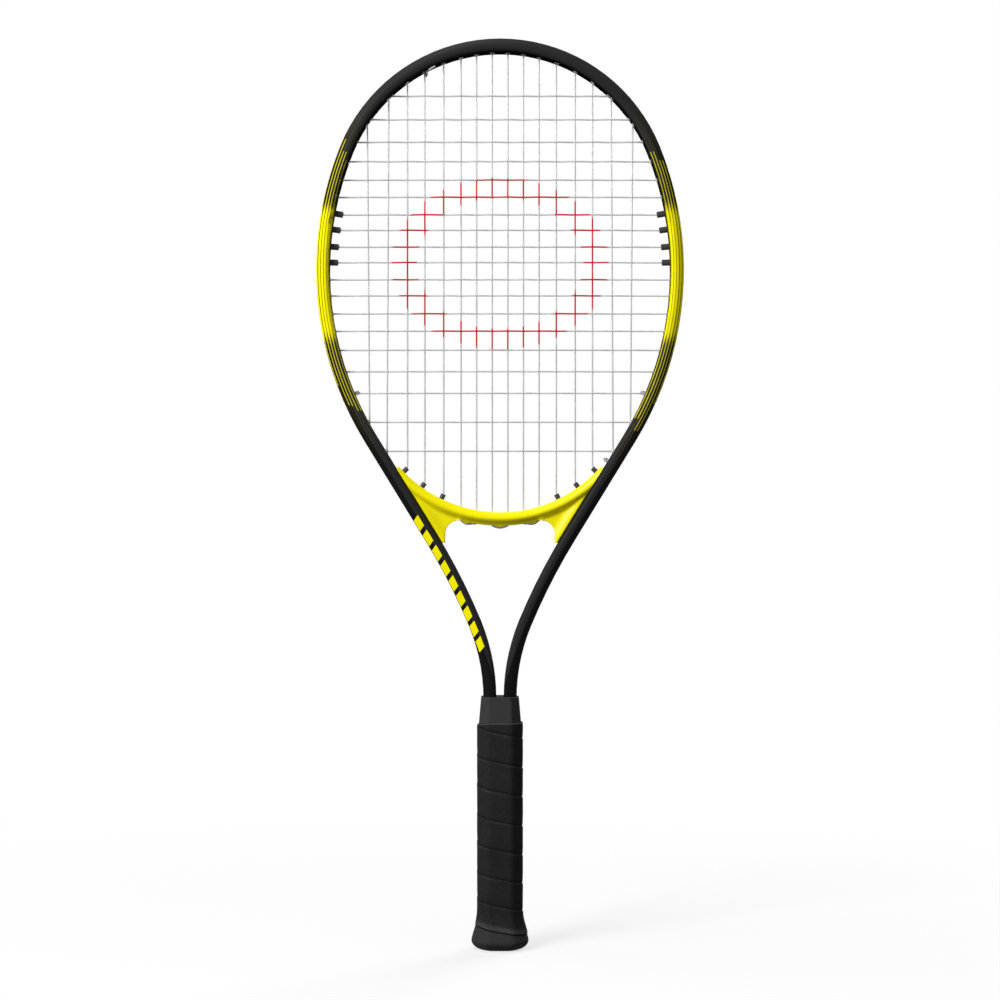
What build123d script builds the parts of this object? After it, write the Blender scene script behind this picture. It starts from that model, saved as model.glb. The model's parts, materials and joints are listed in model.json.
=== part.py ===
"""Tennis racket: a bent aluminium hoop with a moulded throat bridge, two strings and a wrapped handle.

The racket stands upright. The origin is the centre of the butt's end face, +Z runs up the handle to the
head, and the strings lie in the XZ plane. Millimetres.
"""
from build123d import *
from math import cos, radians, sin, tan
import os

os.makedirs("parts", exist_ok=True)

# ---- overall ----
overall_length = 698.5        # butt end to the outside of the head, 27.5 inches

# ---- hoop: the tube's centreline, from the head's top down the right side ----
crown_radius = 127.3
crown_turn = 68.0             # degrees
side_radius = 247.2
side_turn = 53.5
throat_radius = 478.7         # bends the other way from here down
throat_turn = 8.9
neck_radius = 150.0
leg_spacing = 15.6            # between the two legs' centrelines in the handle

# ---- tube section: u is measured outward from the centreline, v forward ----
tube_width = 10.0
tube_depth = 20.0
tube_wall = 0.8
crest_width = 5.5             # flat of the front and back faces, from the inner wall
outer_slope = 3.0             # how far the outer shoulder falls back from the crest
inner_round = 3.2
crest_round = 4.0
shoulder_round = 1.6
groove_width = 5.6
groove_depth = 2.3

# ---- strings ----
string_diameter = 1.3
layer_gap = 0.1               # between the flat layers of mains and crosses
main_spots = [6.0, 18.0, 30.0, 43.3, 57.8, 71.1, 85.5, 102.0]
cross_drops = [43.5, 61.5, 78.8, 93.7, 107.9, 121.1, 134.6, 146.5, 159.4, 171.3,
               184.5, 196.9, 210.7, 224.1, 238.7, 255.2, 271.9, 294.1, 316.4]
groove_bend = 1.5             # radius of a string where it turns into the groove
mouth_bend = 4.0              # radius of a string where it leaves a grommet
groove_step = 13.0            # longest straight run of a string in the groove
least_turn = 0.5              # degrees; a route point that turns less is left out
knot_radius = 1.3
knot_reach = 1.7              # from a grommet's mouth to the middle of its knot

# ---- grommets ----
barrel_diameter = 3.6
barrel_bore = 1.9
shared_diameter = 4.4         # a barrel that two strings pass through
shared_bore = 3.0
barrel_fit = 0.1              # radial, barrel in its hole
short_nose = 0.6              # how far a barrel stands in from the inner wall
long_nose = 6.5
long_nosed_crosses = [7, 8, 9, 10]
sleeve_diameter = 4.8         # thick sleeve around a long nose
sleeve_chamfer = 0.5
sleeve_fit = 0.05             # from the inner wall
strip_thickness = 0.9
strip_width = 5.2
strip_overrun = 6.0           # past the last barrel
pad_reach = 3.0               # half the length of the pad on a single grommet
end_share = 0.365             # the cross string's last hole, from the last cross to the bridge's tip hole
flare_depth = 1.0
bridge_nose = 3.9
bridge_barrel_diameter = 3.9
bridge_barrel_depth = 3.5     # how far a bridge barrel is let into the bridge

# ---- throat bridge ----
bridge_drop = 358.2           # from the crown's centreline to the top edge's middle
bridge_tip_rise = 35.2        # upper tips, above the top edge's middle
bridge_tip_gap = 2.5          # thickness of the blunt upper tips, in from the tube
bridge_bar = 10.4             # height of the bar at its middle
bridge_depth = 18.0
bridge_foot_drop = 23.5       # lower tips, below the top edge's middle
bridge_foot_gap = 2.2         # how far the lower tips stand in from the tube
bridge_arch_round = 10.5
bridge_fit = 0.15             # to the tube
bridge_rim = 4.6              # top rim around the scooped wings
bridge_edge = 1.6             # rim along the tube
bridge_scoop = 4.0            # depth of the scoop, front and back
scoop_start = 24.0            # from the middle
saddle_radius = 9.0
saddle_drop = 1.0             # below the bar
saddle_width = 8.0            # front to back
loop_depth = 7.5              # wing loops, below the bridge's top edge
string_way = 0.2              # room around a string where it passes through the bridge

# ---- handle ----
grip_width = 35.0
grip_depth = 30.5
grip_bevel = 8.3
wrap_thickness = 1.7
shell_foot = 5.0
leg_fit = 0.15
leg_foot = 14.0
collar_height = 22.5
collar_rise = 1.5             # above where the legs become straight
collar_width = 29.0           # at its top
collar_depth = 24.6
collar_bevel = 6.2
collar_base_width = 32.8
collar_base_depth = 28.4
collar_base_bevel = 7.4
screw_levels = [60.0, 130.0]
screw_diameter = 2.9
screw_head_diameter = 5.2
screw_head_height = 1.8
screw_length = 16.0
screw_slot = 3.2              # across the cross recess
screw_slot_width = 0.7
screw_slot_depth = 0.8
pilot_fit = 0.05

# ---- butt cap ----
base_levels = [0.0, 1.2, 3.0, 5.0, 7.5]       # rounded foot, up to the widest ring
base_widths = [29.0, 35.0, 40.0, 43.0, 44.2]
skirt_levels = [11.0, 15.5, 20.0, 26.0, 33.0]
skirt_widths = [43.1, 40.4, 37.9, 35.7, 35.0]
cap_top = 21.5
cap_floor = 2.6
cap_fit = 0.1
port_diameter = 19.0          # opening in the butt
plug_fit = 0.1
plug_thickness = 1.6
plug_recess = 0.5
plug_lip = 1.2
plug_rim = 1.2                # thickness of the lip behind the cap's floor
staple_level = 16.0
staple_span = 9.0
staple_wire = 1.0
staple_leg = 4.3
staple_sink = 1.3             # from the shell's face out to the crown's middle
staple_fit = 0.05
staple_reach = 11.0           # how far the crown's slot is cut outward

# ---- worked out ----
half_width = tube_width / 2
string_radius = string_diameter / 2
layer_offset = (string_diameter + layer_gap) / 2
groove_floor = half_width - groove_depth
string_level = groove_floor + strip_thickness + string_radius + 0.05
crown_top = overall_length - half_width
straight_heading = crown_turn + side_turn
neck_heading = straight_heading - throat_turn
bevel_share = 2 - 2 ** 0.5    # how much an octagon's bevel shrinks for each millimetre it is set in


def ground(radius, start, end):
    """How far right an arc of the chain carries its end, between two headings in degrees."""
    return radius * abs(sin(radians(end)) - sin(radians(start)))


crown_reach = ground(crown_radius, 0, crown_turn)
side_reach = side_radius * (sin(radians(straight_heading)) - sin(radians(crown_turn)))
throat_reach = ground(throat_radius, straight_heading, neck_heading)
neck_reach = neck_radius * (1 - sin(radians(neck_heading)))
straight_reach = crown_reach + side_reach - throat_reach - neck_reach - leg_spacing / 2
straight_length = -straight_reach / cos(radians(straight_heading))

# each run is a length and a signed radius, positive where it turns to the right
runs = [
    (radians(crown_turn) * crown_radius, crown_radius),
    (radians(side_turn) * side_radius, side_radius),
    (straight_length, None),
    (radians(throat_turn) * throat_radius, -throat_radius),
    (radians(neck_heading - 90) * neck_radius, -neck_radius),
]


def follow(distance):
    """Point and heading on the right half of the centreline, a distance from the head's top."""
    x, z, heading = 0.0, crown_top, 0.0
    left = distance
    for length, radius in runs:
        step = min(left, length)
        if radius is None:
            x += step * cos(heading)
            z -= step * sin(heading)
        else:
            turned = heading + step / radius
            x += radius * (sin(turned) - sin(heading))
            z += radius * (cos(turned) - cos(heading))
            heading = turned
        left -= step
    return x + left * cos(heading), z - left * sin(heading), heading


def centreline(distance):
    """Point, forward direction and outward direction in XZ; a negative distance is on the left side."""
    x, z, heading = follow(abs(distance))
    side = -1 if distance < 0 else 1
    forward = (cos(heading), -side * sin(heading))
    outward = (side * sin(heading), cos(heading))
    return (side * x, z), forward, outward


def spot(distance, level):
    """Point in XZ at a level outward from the centreline."""
    (x, z), _, (ox, oz) = centreline(distance)
    return x + level * ox, z + level * oz


def solve(test, low, high):
    """Where a rising test function crosses zero."""
    for _ in range(60):
        middle = (low + high) / 2
        if test(middle) < 0:
            low = middle
        else:
            high = middle
    return low


run_joins = [sum(length for length, _ in runs[:count]) for count in range(1, len(runs) + 1)]
hoop_length = run_joins[-1] + follow(run_joins[-1])[1] - leg_foot
widest = radians(crown_turn) * crown_radius + radians(90 - crown_turn) * side_radius
cross_levels = [overall_length - drop for drop in cross_drops]
collar_top = follow(run_joins[-1])[1] + collar_rise
grip_top = collar_top - collar_height
bridge_rise = crown_top - bridge_drop
bridge_foot = bridge_rise - bridge_foot_drop
bridge_tip_level = -half_width - bridge_tip_gap
bridge_tip = solve(lambda value: bridge_rise + bridge_tip_rise - spot(value, bridge_tip_level)[1],
                   widest, run_joins[-1])
bridge_tip_x = spot(bridge_tip, bridge_tip_level)[0]
bridge_top_radius = (bridge_tip_x ** 2 + bridge_tip_rise ** 2) / (2 * bridge_tip_rise)


def stretch(first, last):
    """Wire along the centreline between two distances."""
    joins = sorted([-join for join in run_joins] + [0] + run_joins)
    stops = [first] + [join for join in joins if first < join < last] + [last]
    with BuildLine(Plane.XZ) as line:
        for start, end in zip(stops, stops[1:]):
            a, b, c = (centreline(value)[0] for value in (start, (start + end) / 2, end))
            if abs((b[0] - a[0]) * (c[1] - a[1]) - (b[1] - a[1]) * (c[0] - a[0])) < 1e-6:
                Line(a, c)
            else:
                ThreePointArc(a, b, c)
    return line.wires()[0]


def section_plane(distance):
    """Plane across the tube: its x is outward and its y is forward of the racket."""
    (x, z), (fx, fz), (ox, oz) = centreline(distance)
    return Plane(origin=(x, 0, z), x_dir=(ox, 0, oz), z_dir=(fx, 0, fz))


def top_of_bridge(x):
    """Height of the bridge's top edge."""
    return bridge_rise + bridge_top_radius - (bridge_top_radius ** 2 - x ** 2) ** 0.5


# ---- where the strings pass through the hoop ----
def nose_of(number):
    """How far the barrel of a cross, counted from 1, stands in from the wall."""
    return long_nose if number in long_nosed_crosses else short_nose


def top_hole(x):
    """Distance along the right side of the barrel whose mouth is at x, on the head's top."""
    return solve(lambda value: spot(value, -half_width - short_nose)[0] - x, 0, widest)


def side_hole(z, nose):
    """Distance along the right side of the barrel whose mouth is at height z."""
    return solve(lambda value: z - spot(value, -half_width - nose)[1], 0, hoop_length)


main_holes = [top_hole(x) for x in main_spots]
cross_holes = [side_hole(z, nose_of(number)) for number, z in enumerate(cross_levels, 1)]
shared_holes = cross_holes[-2:]
tie_hole = cross_holes[-3]             # the mains' ends come back in here
knot_hole = main_holes[4]              # the cross string's start comes back in here, on the left


def bridge_aim(x):
    """Unit vector of a barrel that stands square to the bridge's top edge, pointing out of the head."""
    across = x / bridge_top_radius
    return across, -(1 - across ** 2) ** 0.5


def bridge_mouth(x):
    """Mouth of the bridge barrel of the main at x."""
    reach = bridge_top_radius - bridge_nose
    rise = (reach ** 2 - x ** 2) ** 0.5
    return x, bridge_rise + bridge_top_radius - rise


def down_from(x, distance):
    """Point on a bridge barrel's axis, a distance from its mouth."""
    mouth = bridge_mouth(x)
    across = x / (bridge_top_radius - bridge_nose)
    return mouth[0] + distance * across, mouth[1] - distance * (1 - across ** 2) ** 0.5


def tip_reach(level):
    """Distance down the sixth main's barrel to a level of the tube, and where along the tube that is."""
    x = main_spots[5]
    out = solve(lambda value: nearest(down_from(x, value))[1] - level, 0, 60)
    return out, nearest(down_from(x, out))[0]


def nearest(point):
    """Distance along the right side that a point is level with, and its level outward."""
    def ahead(value):
        (x, z), (fx, fz), _ = centreline(value)
        return -((point[0] - x) * fx + (point[1] - z) * fz)
    at = solve(ahead, widest, run_joins[-1])
    (x, z), _, (ox, oz) = centreline(at)
    return at, (point[0] - x) * ox + (point[1] - z) * oz


tip_out, tip_hole = tip_reach(string_level)
end_hole = shared_holes[1] + end_share * (tip_hole - shared_holes[1])   # the cross string comes back in here


# ---- routes of the two strings: points in XZ, each with the largest radius it may be rounded to ----
def through(distance, nose):
    """From a barrel's mouth out to the groove."""
    return [(spot(distance, -half_width - nose), mouth_bend), (spot(distance, string_level), groove_bend)]


def along_groove(first, last):
    """Points between two holes, so that the string follows the groove."""
    steps = int(abs(last - first) // groove_step)
    shares = [count / (steps + 1) for count in range(1, steps + 1)]
    return [(spot(first + share * (last - first), string_level), neck_radius) for share in shares]


def mirrored(route):
    return [((-x, z), bend) for (x, z), bend in route]


def under_bar(inner, outer):
    """Loop below the bar, over the saddle between two mains."""
    low = top_of_bridge((inner + outer) / 2) - bridge_bar - saddle_drop - string_radius
    exits = [top_of_bridge(x) - bridge_bar - 0.3 for x in (inner, outer)]
    return [((inner, exits[0]), groove_bend), (((inner + outer) / 2, low), saddle_radius),
            ((outer, exits[1]), groove_bend)]


def wing_loop(inner, outer):
    """Loop inside the bridge's wing."""
    return [(bridge_mouth(inner), mouth_bend), (down_from(inner, bridge_nose + loop_depth), groove_bend),
            (down_from(outer, bridge_nose + loop_depth), groove_bend), (bridge_mouth(outer), mouth_bend)]


def main_route():
    """Right half of the main string, from the middle of its lowest loop to its knot."""
    holes = main_holes
    route = under_bar(-main_spots[0], main_spots[0])[1:]
    for inner in (0, 2, 4, 6):
        outer = inner + 1
        route += through(holes[inner], short_nose)
        route += along_groove(holes[inner], holes[outer])
        route += through(holes[outer], short_nose)[::-1]
        if outer == 1:
            route += under_bar(main_spots[1], main_spots[2])
        elif outer == 3:
            route += wing_loop(main_spots[3], main_spots[4])
        elif outer == 5:
            route.append((bridge_mouth(main_spots[5]), mouth_bend))
            route.append((down_from(main_spots[5], tip_out), groove_bend))
            route += along_groove(tip_hole, shared_holes[1])
            route += through(shared_holes[1], short_nose)[::-1]
    route += through(shared_holes[0], short_nose)
    route += along_groove(shared_holes[0], tie_hole)
    route += through(tie_hole, short_nose)[::-1]
    return route + [(spot(tie_hole, -half_width - short_nose - knot_reach), 0)]


def cross_route():
    """The whole cross string, from its knot at the top left to its knot below the last cross."""
    first = cross_holes[0]
    route = [(spot(-knot_hole, -half_width - short_nose - knot_reach), 0)]
    route += through(-knot_hole, short_nose)
    route += along_groove(-knot_hole, -first)
    side = -1
    for number, hole in enumerate(cross_holes, 1):
        nose = nose_of(number)
        route += through(side * hole, nose)[::-1]
        side = -side
        route += through(side * hole, nose)
        if number < len(cross_holes):
            route += along_groove(side * hole, side * cross_holes[number])
    route += along_groove(shared_holes[1], end_hole)
    route += through(end_hole, short_nose)[::-1]
    return route + [(spot(end_hole, -half_width - short_nose - knot_reach), 0)]



def string_wire(route, layer):
    """Rounded wire of a route, on one side of the string plane."""
    def turn(index):
        here = points[index]
        return (here - points[index - 1]).get_angle(points[index + 1] - here)

    points = [Vector(x, layer, z) for (x, z), _ in route]
    bends = [bend for _, bend in route]
    kept = [0] + [index for index in range(1, len(points) - 1) if turn(index) > least_turn]
    kept.append(len(points) - 1)
    points = [points[index] for index in kept]
    bends = [bends[index] for index in kept]
    radii = []
    for before, here, after, bend in zip(points, points[1:], points[2:], bends[1:]):
        half_turn = radians((here - before).get_angle(after - here)) / 2
        shorter = min((here - before).length, (after - here).length)
        radii.append(min(bend, 0.45 * shorter / tan(half_turn)))
    with BuildLine() as line:
        FilletPolyline(*points, radius=radii)
    return line.wires()[0]


def make_string(route, layer):
    """A string with a knot at each end."""
    wire = string_wire(route, layer)
    with BuildPart() as string:
        with BuildSketch(Plane(origin=wire @ 0, z_dir=wire % 0)):
            Circle(string_radius)
        sweep(path=wire)
        with Locations(wire @ 0, wire @ 1):
            Sphere(knot_radius)
    print("string length", round(wire.length, 1), "volume share",
          round(string.part.volume / (wire.length * Circle(string_radius).area), 4))
    return string


right_route = main_route()
left_route = mirrored(right_route)[::-1]
main_string = make_string(left_route[:-1] + right_route, -layer_offset)
main_string.part.label = "main_string"
export_step(main_string.part, "parts/main_string.step")

cross_string = make_string(cross_route(), layer_offset)
cross_string.part.label = "cross_string"
export_step(cross_string.part, "parts/cross_string.step")


# ---- hole axes ----
def hole_plane(distance, layer=0.0):
    """Plane on the centreline whose z points outward through the tube."""
    (x, z), (fx, fz), (ox, oz) = centreline(distance)
    return Plane(origin=(x, layer, z), x_dir=(fx, 0, fz), z_dir=(ox, 0, oz))


def bridge_plane(x, distance, layer=0.0):
    """Plane on a bridge barrel's axis, a distance from its mouth, whose z points out of the head."""
    side = -1 if x < 0 else 1
    near_x, near_z = down_from(abs(x), distance)
    far_x, far_z = down_from(abs(x), distance + 1)
    aim = (side * (far_x - near_x), 0, far_z - near_z)
    return Plane(origin=(side * near_x, layer, near_z), x_dir=(0, 1, 0), z_dir=aim)


sides = (-1, 1)
tip_planes = [bridge_plane(side * main_spots[5], tip_out, -layer_offset) for side in sides]

# ---- hoop ----
def tube_outline():
    """Edges of the tube's outer outline without its groove."""
    with BuildLine() as outline:
        front = FilletPolyline(
            (-half_width, 0),
            (-half_width, tube_depth / 2),
            (crest_width - half_width, tube_depth / 2),
            (half_width, tube_depth / 2 - outer_slope),
            (half_width, 0),
            radius=(inner_round, crest_round, shoulder_round),
        )
        mirror(front, about=Plane.XZ)
    return outline.edges()


hoop_wire = stretch(-hoop_length, hoop_length)
with BuildSketch(section_plane(-hoop_length)) as tube_sketch:
    make_face(tube_outline())
    with Locations((half_width, 0)):
        Rectangle(2 * groove_depth, groove_width, mode=Mode.SUBTRACT)
with BuildSketch(section_plane(-hoop_length)) as cavity_sketch:
    make_face(tube_outline())
    offset(amount=-tube_wall, mode=Mode.REPLACE)
    with Locations((half_width, 0)):
        Rectangle(2 * (groove_depth + tube_wall), groove_width + 2 * tube_wall, mode=Mode.SUBTRACT)

# every barrel through the tube: distance, layer, diameter, bore and nose
barrels = []
for side in sides:
    for hole in main_holes:
        if side * hole != -knot_hole:
            barrels.append((side * hole, -layer_offset, barrel_diameter, barrel_bore, short_nose))
    for number, hole in enumerate(cross_holes[:-3], 1):
        barrels.append((side * hole, layer_offset, barrel_diameter, barrel_bore, nose_of(number)))
    for hole in (tie_hole, *shared_holes):
        barrels.append((side * hole, 0, shared_diameter, shared_bore, short_nose))
barrels.append((-knot_hole, 0, shared_diameter, shared_bore, short_nose))
barrels.append((end_hole, layer_offset, barrel_diameter, barrel_bore, short_nose))

with BuildPart() as frame_tube:
    sweep(sections=tube_sketch.sketch, path=hoop_wire)
    sweep(sections=cavity_sketch.sketch, path=hoop_wire, mode=Mode.SUBTRACT)
    for distance, layer, diameter, bore, nose in barrels:
        with Locations(hole_plane(distance, layer)):
            Cylinder(diameter / 2 + barrel_fit, 1.5 * tube_width, mode=Mode.SUBTRACT)
    with Locations(*tip_planes):
        Cylinder(bridge_barrel_diameter / 2 + barrel_fit, 2.6 * tube_width, mode=Mode.SUBTRACT)

frame_tube.part.label = "frame_tube"
export_step(frame_tube.part, "parts/frame_tube.step")
print("tube volume share", round(frame_tube.part.volume / (2 * hoop_length)
      / (tube_sketch.sketch.area - cavity_sketch.sketch.area), 3))


# ---- grommets in the tube ----
with BuildPart() as sleeve:
    Cylinder(
        sleeve_diameter / 2,
        long_nose - sleeve_fit,
        align=(Align.CENTER, Align.CENTER, Align.MAX),
    )
    chamfer(sleeve.edges().group_by(Axis.Z)[0], sleeve_chamfer)

def make_grommets(spans, name):
    """Strips in the groove between pairs of distances, each with the barrels of its holes."""
    with BuildPart() as grommets:
        for first, last in spans:
            with BuildSketch(section_plane(first)) as strip_sketch:
                with Locations((groove_floor + barrel_fit / 2 + strip_thickness / 2, 0)):
                    Rectangle(strip_thickness, strip_width)
            sweep(sections=strip_sketch.sketch, path=stretch(first, last))
        held = [row for row in barrels if any(first < row[0] < last for first, last in spans)]
        strip_face = groove_floor + barrel_fit / 2 + strip_thickness
        for distance, layer, diameter, bore, nose in held:
            with Locations(hole_plane(distance, layer).offset(strip_face - strip_thickness / 2)):
                length = strip_face - strip_thickness / 2 + half_width + nose
                Cylinder(diameter / 2, length, align=(Align.CENTER, Align.CENTER, Align.MAX))
            if nose == long_nose:
                with Locations(hole_plane(distance, layer).offset(-half_width - sleeve_fit)):
                    add(sleeve.part)
        for distance, layer, diameter, bore, nose in held:
            with Locations(hole_plane(distance, layer)):
                Cylinder(bore / 2, 6 * tube_width, mode=Mode.SUBTRACT)
            with Locations(hole_plane(distance, layer).offset(-half_width - nose + flare_depth / 2)):
                Cone(bore / 2 + 0.6, bore / 2, flare_depth, mode=Mode.SUBTRACT)
            with Locations(hole_plane(distance, layer).offset(strip_face - flare_depth / 2)):
                Cone(bore / 2, bore / 2 + 0.6, flare_depth, mode=Mode.SUBTRACT)
    grommets.part.label = name
    export_step(grommets.part, f"parts/{name}.step")


head_end = cross_holes[1] + strip_overrun
side_start = cross_holes[2] - strip_overrun
side_end = tie_hole + strip_overrun
pads = [(side * hole - pad_reach, side * hole + pad_reach) for side in sides for hole in shared_holes]
pads.append((end_hole - pad_reach, end_hole + pad_reach))
make_grommets([(-head_end, head_end)], "head_grommet_strip")
make_grommets([(-side_end, -side_start)], "left_grommet_strip")
make_grommets([(side_start, side_end)], "right_grommet_strip")
make_grommets(pads, "lower_grommets")


# ---- throat bridge ----
def envelope(room):
    """Both throat stretches of the tube, thickened by some room, for cutting."""
    with BuildPart() as shape:
        with BuildSketch(section_plane(widest)) as cutter:
            Rectangle(tube_width + 2 * room, 2 * bridge_depth)
        sweep(sections=cutter.sketch, path=stretch(widest, run_joins[-1]))
        mirror(about=Plane.YZ)
    return shape.part


underside_radius = bridge_top_radius + bridge_bar
underside_middle = bridge_rise - bridge_bar
foot_at = solve(lambda value: bridge_foot - follow(value)[1], widest, run_joins[-1])
foot_x = follow(foot_at)[0]
foot_inner = solve(lambda value: nearest((value, bridge_foot))[1] + half_width + bridge_foot_gap, 0, foot_x)
corner_z = underside_middle + underside_radius - (underside_radius ** 2 - foot_inner ** 2) ** 0.5
tip_z = bridge_rise + bridge_tip_rise
tip_middle = spot(bridge_tip, 0)

with BuildPart() as scoops:
    with BuildSketch(Plane.XZ.offset(bridge_depth / 2 - bridge_scoop)):
        with BuildLine():
            rim_radius = bridge_top_radius + bridge_rim
            rim_z = bridge_rise + bridge_top_radius
            start_z = rim_z - (rim_radius ** 2 - scoop_start ** 2) ** 0.5
            end_z = rim_z - (rim_radius ** 2 - bridge_tip_x ** 2) ** 0.5
            middle_x = (scoop_start + bridge_tip_x) / 2
            middle_z = rim_z - (rim_radius ** 2 - middle_x ** 2) ** 0.5
            ThreePointArc((scoop_start, start_z), (middle_x, middle_z), (bridge_tip_x, end_z))
            Polyline(
                (bridge_tip_x, end_z),
                spot(bridge_tip, 0),
                (foot_x, bridge_foot - bridge_rim),
                (scoop_start, bridge_foot - bridge_rim),
                (scoop_start, start_z),
            )
        make_face()
    extrude(amount=bridge_depth)
    mirror(about=Plane.YZ)
    mirror(about=Plane.XZ)
    add(envelope(bridge_fit + bridge_edge), mode=Mode.SUBTRACT)

with BuildPart() as throat_bridge:
    with BuildSketch(Plane.XZ) as bridge_outline:
        with BuildLine():
            ThreePointArc((-bridge_tip_x, tip_z), (0, bridge_rise), (bridge_tip_x, tip_z))
            for side in sides:
                Polyline(
                    (side * bridge_tip_x, tip_z),
                    (side * tip_middle[0], tip_middle[1]),
                    (side * foot_x, bridge_foot),
                    (side * foot_inner, bridge_foot),
                    (side * foot_inner, corner_z),
                )
            ThreePointArc((-foot_inner, corner_z), (0, underside_middle), (foot_inner, corner_z))
        make_face()
        corners = bridge_outline.vertices().filter_by_position(Axis.X, -foot_inner - 0.1, foot_inner + 0.1)
        fillet(corners.group_by(Axis.Y)[-1], bridge_arch_round)
    extrude(amount=bridge_depth / 2, both=True)
    for inner, outer in ((-main_spots[0], main_spots[0]), (main_spots[1], main_spots[2])):
        middle = (inner + outer) / 2
        level = top_of_bridge(middle) - bridge_bar - saddle_drop + saddle_radius
        for side in sides[:1] if middle == 0 else sides:
            with Locations(Plane(origin=(side * middle, 0, level), z_dir=(0, 1, 0))):
                Cylinder(saddle_radius, saddle_width)
    add(scoops.part, mode=Mode.SUBTRACT)
    add(envelope(bridge_fit), mode=Mode.SUBTRACT)
    room = string_radius + string_way
    for inner, outer in ((-main_spots[0], main_spots[0]), (main_spots[1], main_spots[2])):
        loop = [((inner, top_of_bridge(inner) + saddle_radius), 0)]
        loop += under_bar(inner, outer)
        loop.append(((outer, top_of_bridge(outer) + saddle_radius), 0))
        for route in (loop,) if inner < 0 else (loop, mirrored(loop)):
            wire = string_wire(route, -layer_offset)
            with BuildSketch(Plane(origin=wire @ 0, z_dir=wire % 0)) as way:
                Circle(room)
            sweep(sections=way.sketch, path=wire, mode=Mode.SUBTRACT)
    for route in (wing_loop(*main_spots[3:5]), mirrored(wing_loop(*main_spots[3:5]))):
        wire = string_wire(route, -layer_offset)
        with BuildSketch(Plane(origin=wire @ 0, z_dir=wire % 0)) as way:
            Circle(room)
        sweep(sections=way.sketch, path=wire, mode=Mode.SUBTRACT)
    for side in sides:
        for index, depth in ((3, bridge_barrel_depth), (4, bridge_barrel_depth), (5, tip_out)):
            place = bridge_plane(side * main_spots[index], bridge_nose + depth, -layer_offset)
            with Locations(place):
                Cylinder(
                    bridge_barrel_diameter / 2 + barrel_fit,
                    depth + 2 * bridge_nose,
                    align=(Align.CENTER, Align.CENTER, Align.MAX),
                    mode=Mode.SUBTRACT,
                )
throat_bridge.part.label = "throat_bridge"
export_step(throat_bridge.part, "parts/throat_bridge.step")


# ---- bridge grommets ----
def bridge_grommets(side, name):
    """The three standing barrels on one side; the outer one goes on through the tube."""
    tip_end = tip_out - string_level + groove_floor + strip_thickness
    lengths = [bridge_nose + bridge_barrel_depth, bridge_nose + bridge_barrel_depth, tip_end]
    with BuildPart() as grommets:
        for x, length in zip(main_spots[3:6], lengths):
            with Locations(bridge_plane(side * x, 0, -layer_offset)):
                Cylinder(bridge_barrel_diameter / 2, length, align=(Align.CENTER, Align.CENTER, Align.MIN))
                Cylinder(barrel_bore / 2, 3 * length, mode=Mode.SUBTRACT)
            with Locations(bridge_plane(side * x, flare_depth / 2, -layer_offset)):
                Cone(barrel_bore / 2 + 0.6, barrel_bore / 2, flare_depth, mode=Mode.SUBTRACT)
    grommets.part.label = name
    export_step(grommets.part, f"parts/{name}.step")


bridge_grommets(-1, "left_bridge_grommets")
bridge_grommets(1, "right_bridge_grommets")


# ---- handle ----
def octagon(level, width, depth, bevel):
    """Face of a bevelled rectangle at a height."""
    with BuildSketch(Plane.XY.offset(level)) as face:
        Rectangle(width, depth)
        chamfer(face.vertices(), bevel)
    return face.sketch


def set_in(size, amount):
    """An octagon's width, depth and bevel, set in by an amount all round."""
    width, depth, bevel = size
    return width - 2 * amount, depth - 2 * amount, bevel - bevel_share * amount


def leg_plane(side, level):
    """Plane across a leg, with its x outward."""
    return Plane(origin=(side * leg_spacing / 2, 0, level), x_dir=(side, 0, 0), z_dir=(0, 0, 1))


grip_size = (grip_width, grip_depth, grip_bevel)
shell_size = set_in(grip_size, wrap_thickness)
screw_seat = shell_size[1] / 2 - screw_head_height - pilot_fit

with BuildPart() as leg_pockets:
    for side in sides:
        with BuildSketch(leg_plane(side, shell_foot)) as pocket:
            make_face(tube_outline())
            offset(amount=leg_fit, mode=Mode.REPLACE)
        extrude(amount=collar_top + tube_width)

staple_seat = shell_size[1] / 2 + staple_sink


def staples(room, outer_room):
    """Both staples, front and back, grown by some room; the crown is open outward for cutting."""
    wire = staple_wire / 2 + room
    with BuildPart() as both:
        for side in sides:
            for leg in sides:
                with Locations(Plane(origin=(leg * staple_span / 2, side * staple_seat, staple_level),
                                     z_dir=(0, -side, 0))):
                    Cylinder(wire, staple_leg + room, align=(Align.CENTER, Align.CENTER, Align.MIN))
            with Locations((0, side * (staple_seat + outer_room / 2), staple_level)):
                Box(staple_span + 2 * wire, 2 * wire + outer_room, 2 * wire)
    return both.part


staple_holes = staples(staple_fit, staple_reach)

with BuildPart() as screw_ways:
    for level in screw_levels:
        with Locations(Plane(origin=(0, screw_seat, level), z_dir=(0, 1, 0))):
            Cylinder(screw_diameter / 2 + pilot_fit, 2 * (screw_length + pilot_fit))
        with Locations(Plane(origin=(0, shell_size[1] / 2, level), z_dir=(0, 1, 0))):
            Cylinder(screw_head_diameter / 2 + pilot_fit, 2 * (screw_head_height + pilot_fit))

for side, name in ((-1, "front_handle_shell"), (1, "back_handle_shell")):
    with BuildPart() as shell:
        add(octagon(shell_foot, *shell_size))
        extrude(amount=grip_top - shell_foot)
        split(bisect_by=Plane.XZ, keep=Keep.TOP if side < 0 else Keep.BOTTOM)
        add(leg_pockets.part, mode=Mode.SUBTRACT)
        add(screw_ways.part, mode=Mode.SUBTRACT)
        add(staple_holes, mode=Mode.SUBTRACT)
    shell.part.label = name
    export_step(shell.part, f"parts/{name}.step")

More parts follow.
